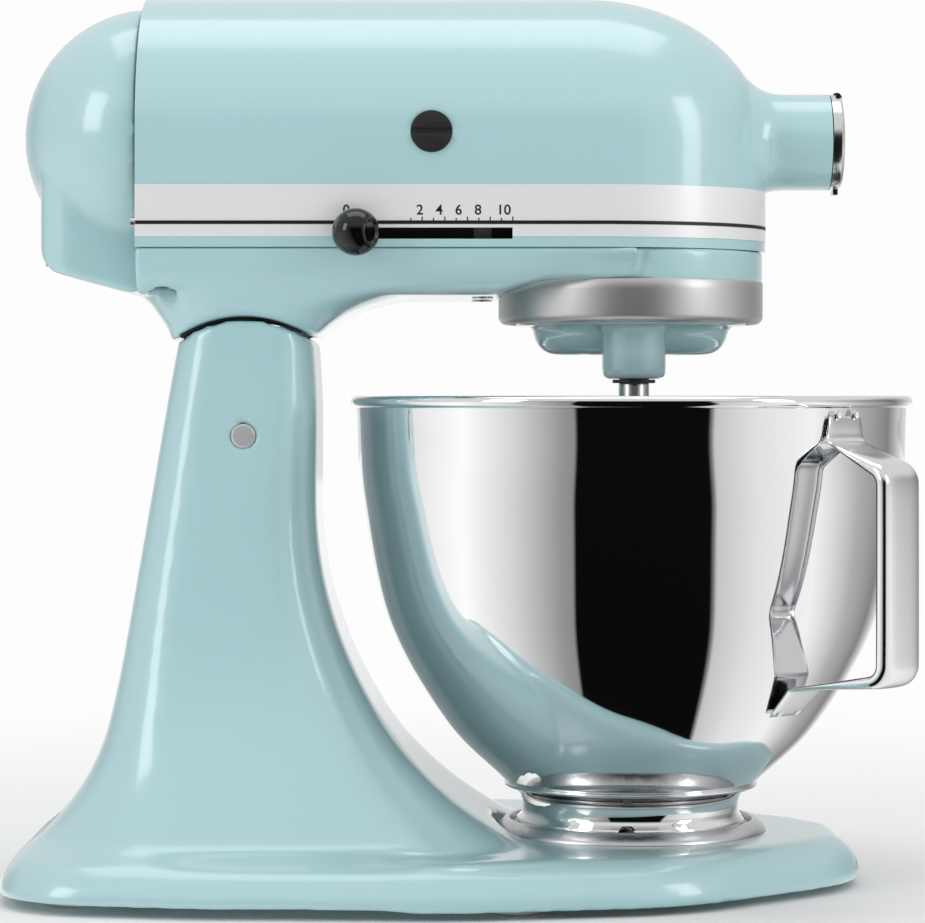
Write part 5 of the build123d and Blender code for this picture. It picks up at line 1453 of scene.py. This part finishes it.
# ---------------------------------------------------------------- studio
@dataclass
class Studio:
    """Plain studio: pale floor, soft light, a dark flag behind the camera, and the camera.

    Args:
        camera_at: Place of the camera.
        lens: Focal length in millimetres.
        shift_y: Upward shift of the frame.
        flag_deg: First and last azimuth of the dark flag, about the direction to the camera.
        flag_top: Sines of the elevations between which the room turns into the bright ceiling.
        floor_fade: Distances between which the floor turns into the plain backdrop.
        backdrop: Brightness of the backdrop.
        room: Brightness of the room's walls.
        mirrored: Brightness of the walls that the floor carries in reflections.
        ceiling: Colour of the room overhead.
        paper: Colour of the floor.
        plain: Colour of the backdrop.
        bowl_x: X about which the floor's reflections are centred.
    """

    camera_at: Spot = (0.0, -1.3, 0.1953)
    lens: float = 124.87
    shift_y: float = -0.0719
    flag_deg: Point = (-24.0, 29.0)
    flag_top: Point = (0.20, 0.55)
    floor_fade: Point = (0.22, 0.75)
    backdrop: float = 0.98
    room: float = 0.85
    mirrored: float = 1.15
    ceiling: tuple[float, ...] = (0.90, 0.90, 0.90, 1.0)
    paper: tuple[float, ...] = (0.90, 0.90, 0.90, 1.0)
    plain: tuple[float, ...] = (1.0, 1.0, 1.0, 1.0)
    bowl_x: float = 0.068

    def build(self) -> None:
        """Set up the camera, the world, the floor and the lights."""
        self._camera()
        self._world()
        self._floor()
        self._lights()
        bpy.context.scene.view_settings.view_transform = "Standard"
        LOG.info("studio: camera, floor and lights")

    def _camera(self) -> None:
        """Stand the camera square to the mixer's side."""
        data = bpy.data.cameras.new("studio_camera")
        data.lens = self.lens
        data.sensor_width = 36.0
        data.shift_y = self.shift_y
        camera = bpy.data.objects.new("studio_camera", data)
        camera.location = self.camera_at
        camera.rotation_euler = (math.pi / 2, 0.0, 0.0)
        bpy.context.scene.collection.objects.link(camera)
        bpy.context.scene.camera = camera

    def _room_walls(self) -> bpy.types.NodeTree:
        """Brightness of the room's walls by azimuth, with the dark flag among them."""
        group = new_group("room_walls", {"Vector": (VECTOR, 0.0)}, {"Colour": COLOUR})
        sketch = Sketch(group)
        parts = sketch.add("SeparateXYZ", {"Vector": group.nodes["Group Input"].outputs["Vector"]}).outputs
        back = sketch.math("MULTIPLY", parts["Y"], -1.0)
        angle = sketch.math("ARCTAN2", parts["X"], back)
        share = sketch.map_range(angle, -math.pi, math.pi)
        walls = sketch.add("ValToRGB", {"Fac": share.outputs["Result"]})
        first, last = self.flag_deg
        stops = [
            (-180.0, 1.0), (-155.0, 0.80), (-132.0, 0.30), (-112.0, 0.72), (-74.0, 1.0), (-50.0, 0.66),
            (first - 6.0, 0.30), (first - 1.0, 0.26), (first, 0.003), (last, 0.003), (last + 1.5, 0.56),
            (48.0, 0.76), (76.0, 0.90), (104.0, 0.42), (130.0, 0.22), (155.0, 0.80), (180.0, 1.0),
        ]
        self._stops(walls.color_ramp, stops)
        sketch.feed(group.nodes["Group Output"], {"Colour": walls.outputs["Color"]})
        return group

    def _world(self) -> None:
        """Light the room by direction: bright walls, a dark flag, and a pale plain backdrop to the eye."""
        world = bpy.data.worlds.new("studio_room")
        bpy.context.scene.world = world
        world.use_nodes = True
        nodes = world.node_tree.nodes
        sketch = Sketch(world.node_tree)
        place = sketch.add("TexCoord").outputs["Generated"]
        parts = sketch.add("SeparateXYZ", {"Vector": place}).outputs
        walls = sketch.add("Group", node_tree=self._room_walls())
        sketch.feed(walls, {"Vector": place})
        height = sketch.map_range(parts["Z"], *self.flag_top, "SMOOTHSTEP").outputs["Result"]
        colour = sketch.mix_colours(height, walls.outputs["Colour"], self.ceiling)
        room = nodes["Background"]
        sketch.feed(room, {"Color": colour, "Strength": self.room})
        backdrop = sketch.add("Background", {"Color": self.plain, "Strength": self.backdrop})
        seen = sketch.add("LightPath").outputs["Is Camera Ray"]
        choice = sketch.mix_shaders(seen, room, backdrop)
        sketch.feed(nodes["World Output"], {"Surface": choice.outputs["Shader"]})

    @staticmethod
    def _stops(ramp: bpy.types.ColorRamp, stops: Sequence[Point]) -> None:
        """Set a ramp's grey stops from azimuths in degrees."""
        while len(ramp.elements) > 1:
            ramp.elements.remove(ramp.elements[0])
        for index, (azimuth, grey) in enumerate(stops):
            share = (azimuth + 180.0) / 360.0
            stop = ramp.elements[0] if index == 0 else ramp.elements.new(share)
            stop.position = share
            stop.color = (grey, grey, grey, 1.0)

    def _floor(self) -> None:
        """Lay the pale floor; in reflections it carries on the walls and the flag above it."""
        clear_selection()
        bpy.ops.mesh.primitive_plane_add(size=12.0, location=(0.0, 0.0, -0.0003))
        floor = bpy.context.object
        floor.name = "studio_floor"
        material = bpy.data.materials.new("studio_paper")
        material.use_nodes = True
        nodes = material.node_tree.nodes
        sketch = Sketch(material.node_tree)
        matt = nodes["Principled BSDF"]
        sketch.feed(matt, {"Base Color": self.paper, "Roughness": 0.9, "Specular IOR Level": 0.1})
        place = sketch.add("TexCoord").outputs["Object"]
        centred = sketch.add("Mapping", {"Location": (-self.bowl_x, 0.0, 0.0), "Vector": place})
        walls = sketch.add("Group", node_tree=bpy.data.node_groups["room_walls"])
        sketch.feed(walls, {"Vector": centred.outputs["Vector"]})
        mirrored = sketch.add("Emission", {"Strength": self.mirrored, "Color": walls.outputs["Colour"]})
        far = sketch.add("VectorMath", {0: place}, operation="LENGTH").outputs["Value"]
        fade = sketch.map_range(far, *self.floor_fade, "SMOOTHSTEP").outputs["Result"]
        glow = sketch.add("Emission", {"Strength": self.backdrop})
        sheet = sketch.mix_shaders(fade, matt, glow)
        path = sketch.add("LightPath").outputs["Is Glossy Ray"]
        choice = sketch.mix_shaders(path, sheet, mirrored)
        sketch.feed(nodes["Material Output"], {"Surface": choice.outputs["Shader"]})
        floor.data.materials.append(material)

    @staticmethod
    def _lights() -> None:
        """Hang the softboxes: one overhead and one at each side."""
        rows = (
            ("softbox_top", (0.0, 0.05, 1.45), (0.0, 0.0, 0.2), 1.3, 0.7, 4.9, True),
            ("softbox_left", (-1.4, -1.0, 0.85), (0.0, 0.0, 0.2), 0.5, 0.9, 5.5, True),
            ("softbox_right", (1.5, -0.9, 0.8), (0.0, 0.0, 0.2), 0.4, 0.9, 4.5, True),
            ("fill_front", (0.1, -1.7, 0.15), (0.05, 0.0, 0.18), 1.2, 0.5, 0.6, False),
            ("fill_low", (0.25, -0.9, 0.03), (0.07, 0.0, 0.22), 0.6, 0.05, 0.9, False),
        )
        for name, at, aim, width, depth, power, shows in rows:
            data = bpy.data.lights.new(name, "AREA")
            data.shape = "RECTANGLE"
            data.size = width
            data.size_y = depth
            data.energy = power
            lamp = bpy.data.objects.new(name, data)
            lamp.location = at
            lamp.visible_glossy = shows
            lamp.rotation_euler = (Vector(aim) - Vector(at)).to_track_quat("-Z", "Y").to_euler()
            bpy.context.scene.collection.objects.link(lamp)


def main() -> None:
    """Load the frame and build every sub-assembly in order."""
    logging.basicConfig(level=logging.INFO, format="%(name)s: %(message)s")
    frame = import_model()
    bench = Bench(frame)
    Studio().build()
    dress_carried(bench)
    Castings().build(bench)
    Bowl().build(bench)
    BeaterEnd().build(bench)
    TrimMarks().build(bench)
    Controls().build(bench)


if __name__ == "__main__":
    main()
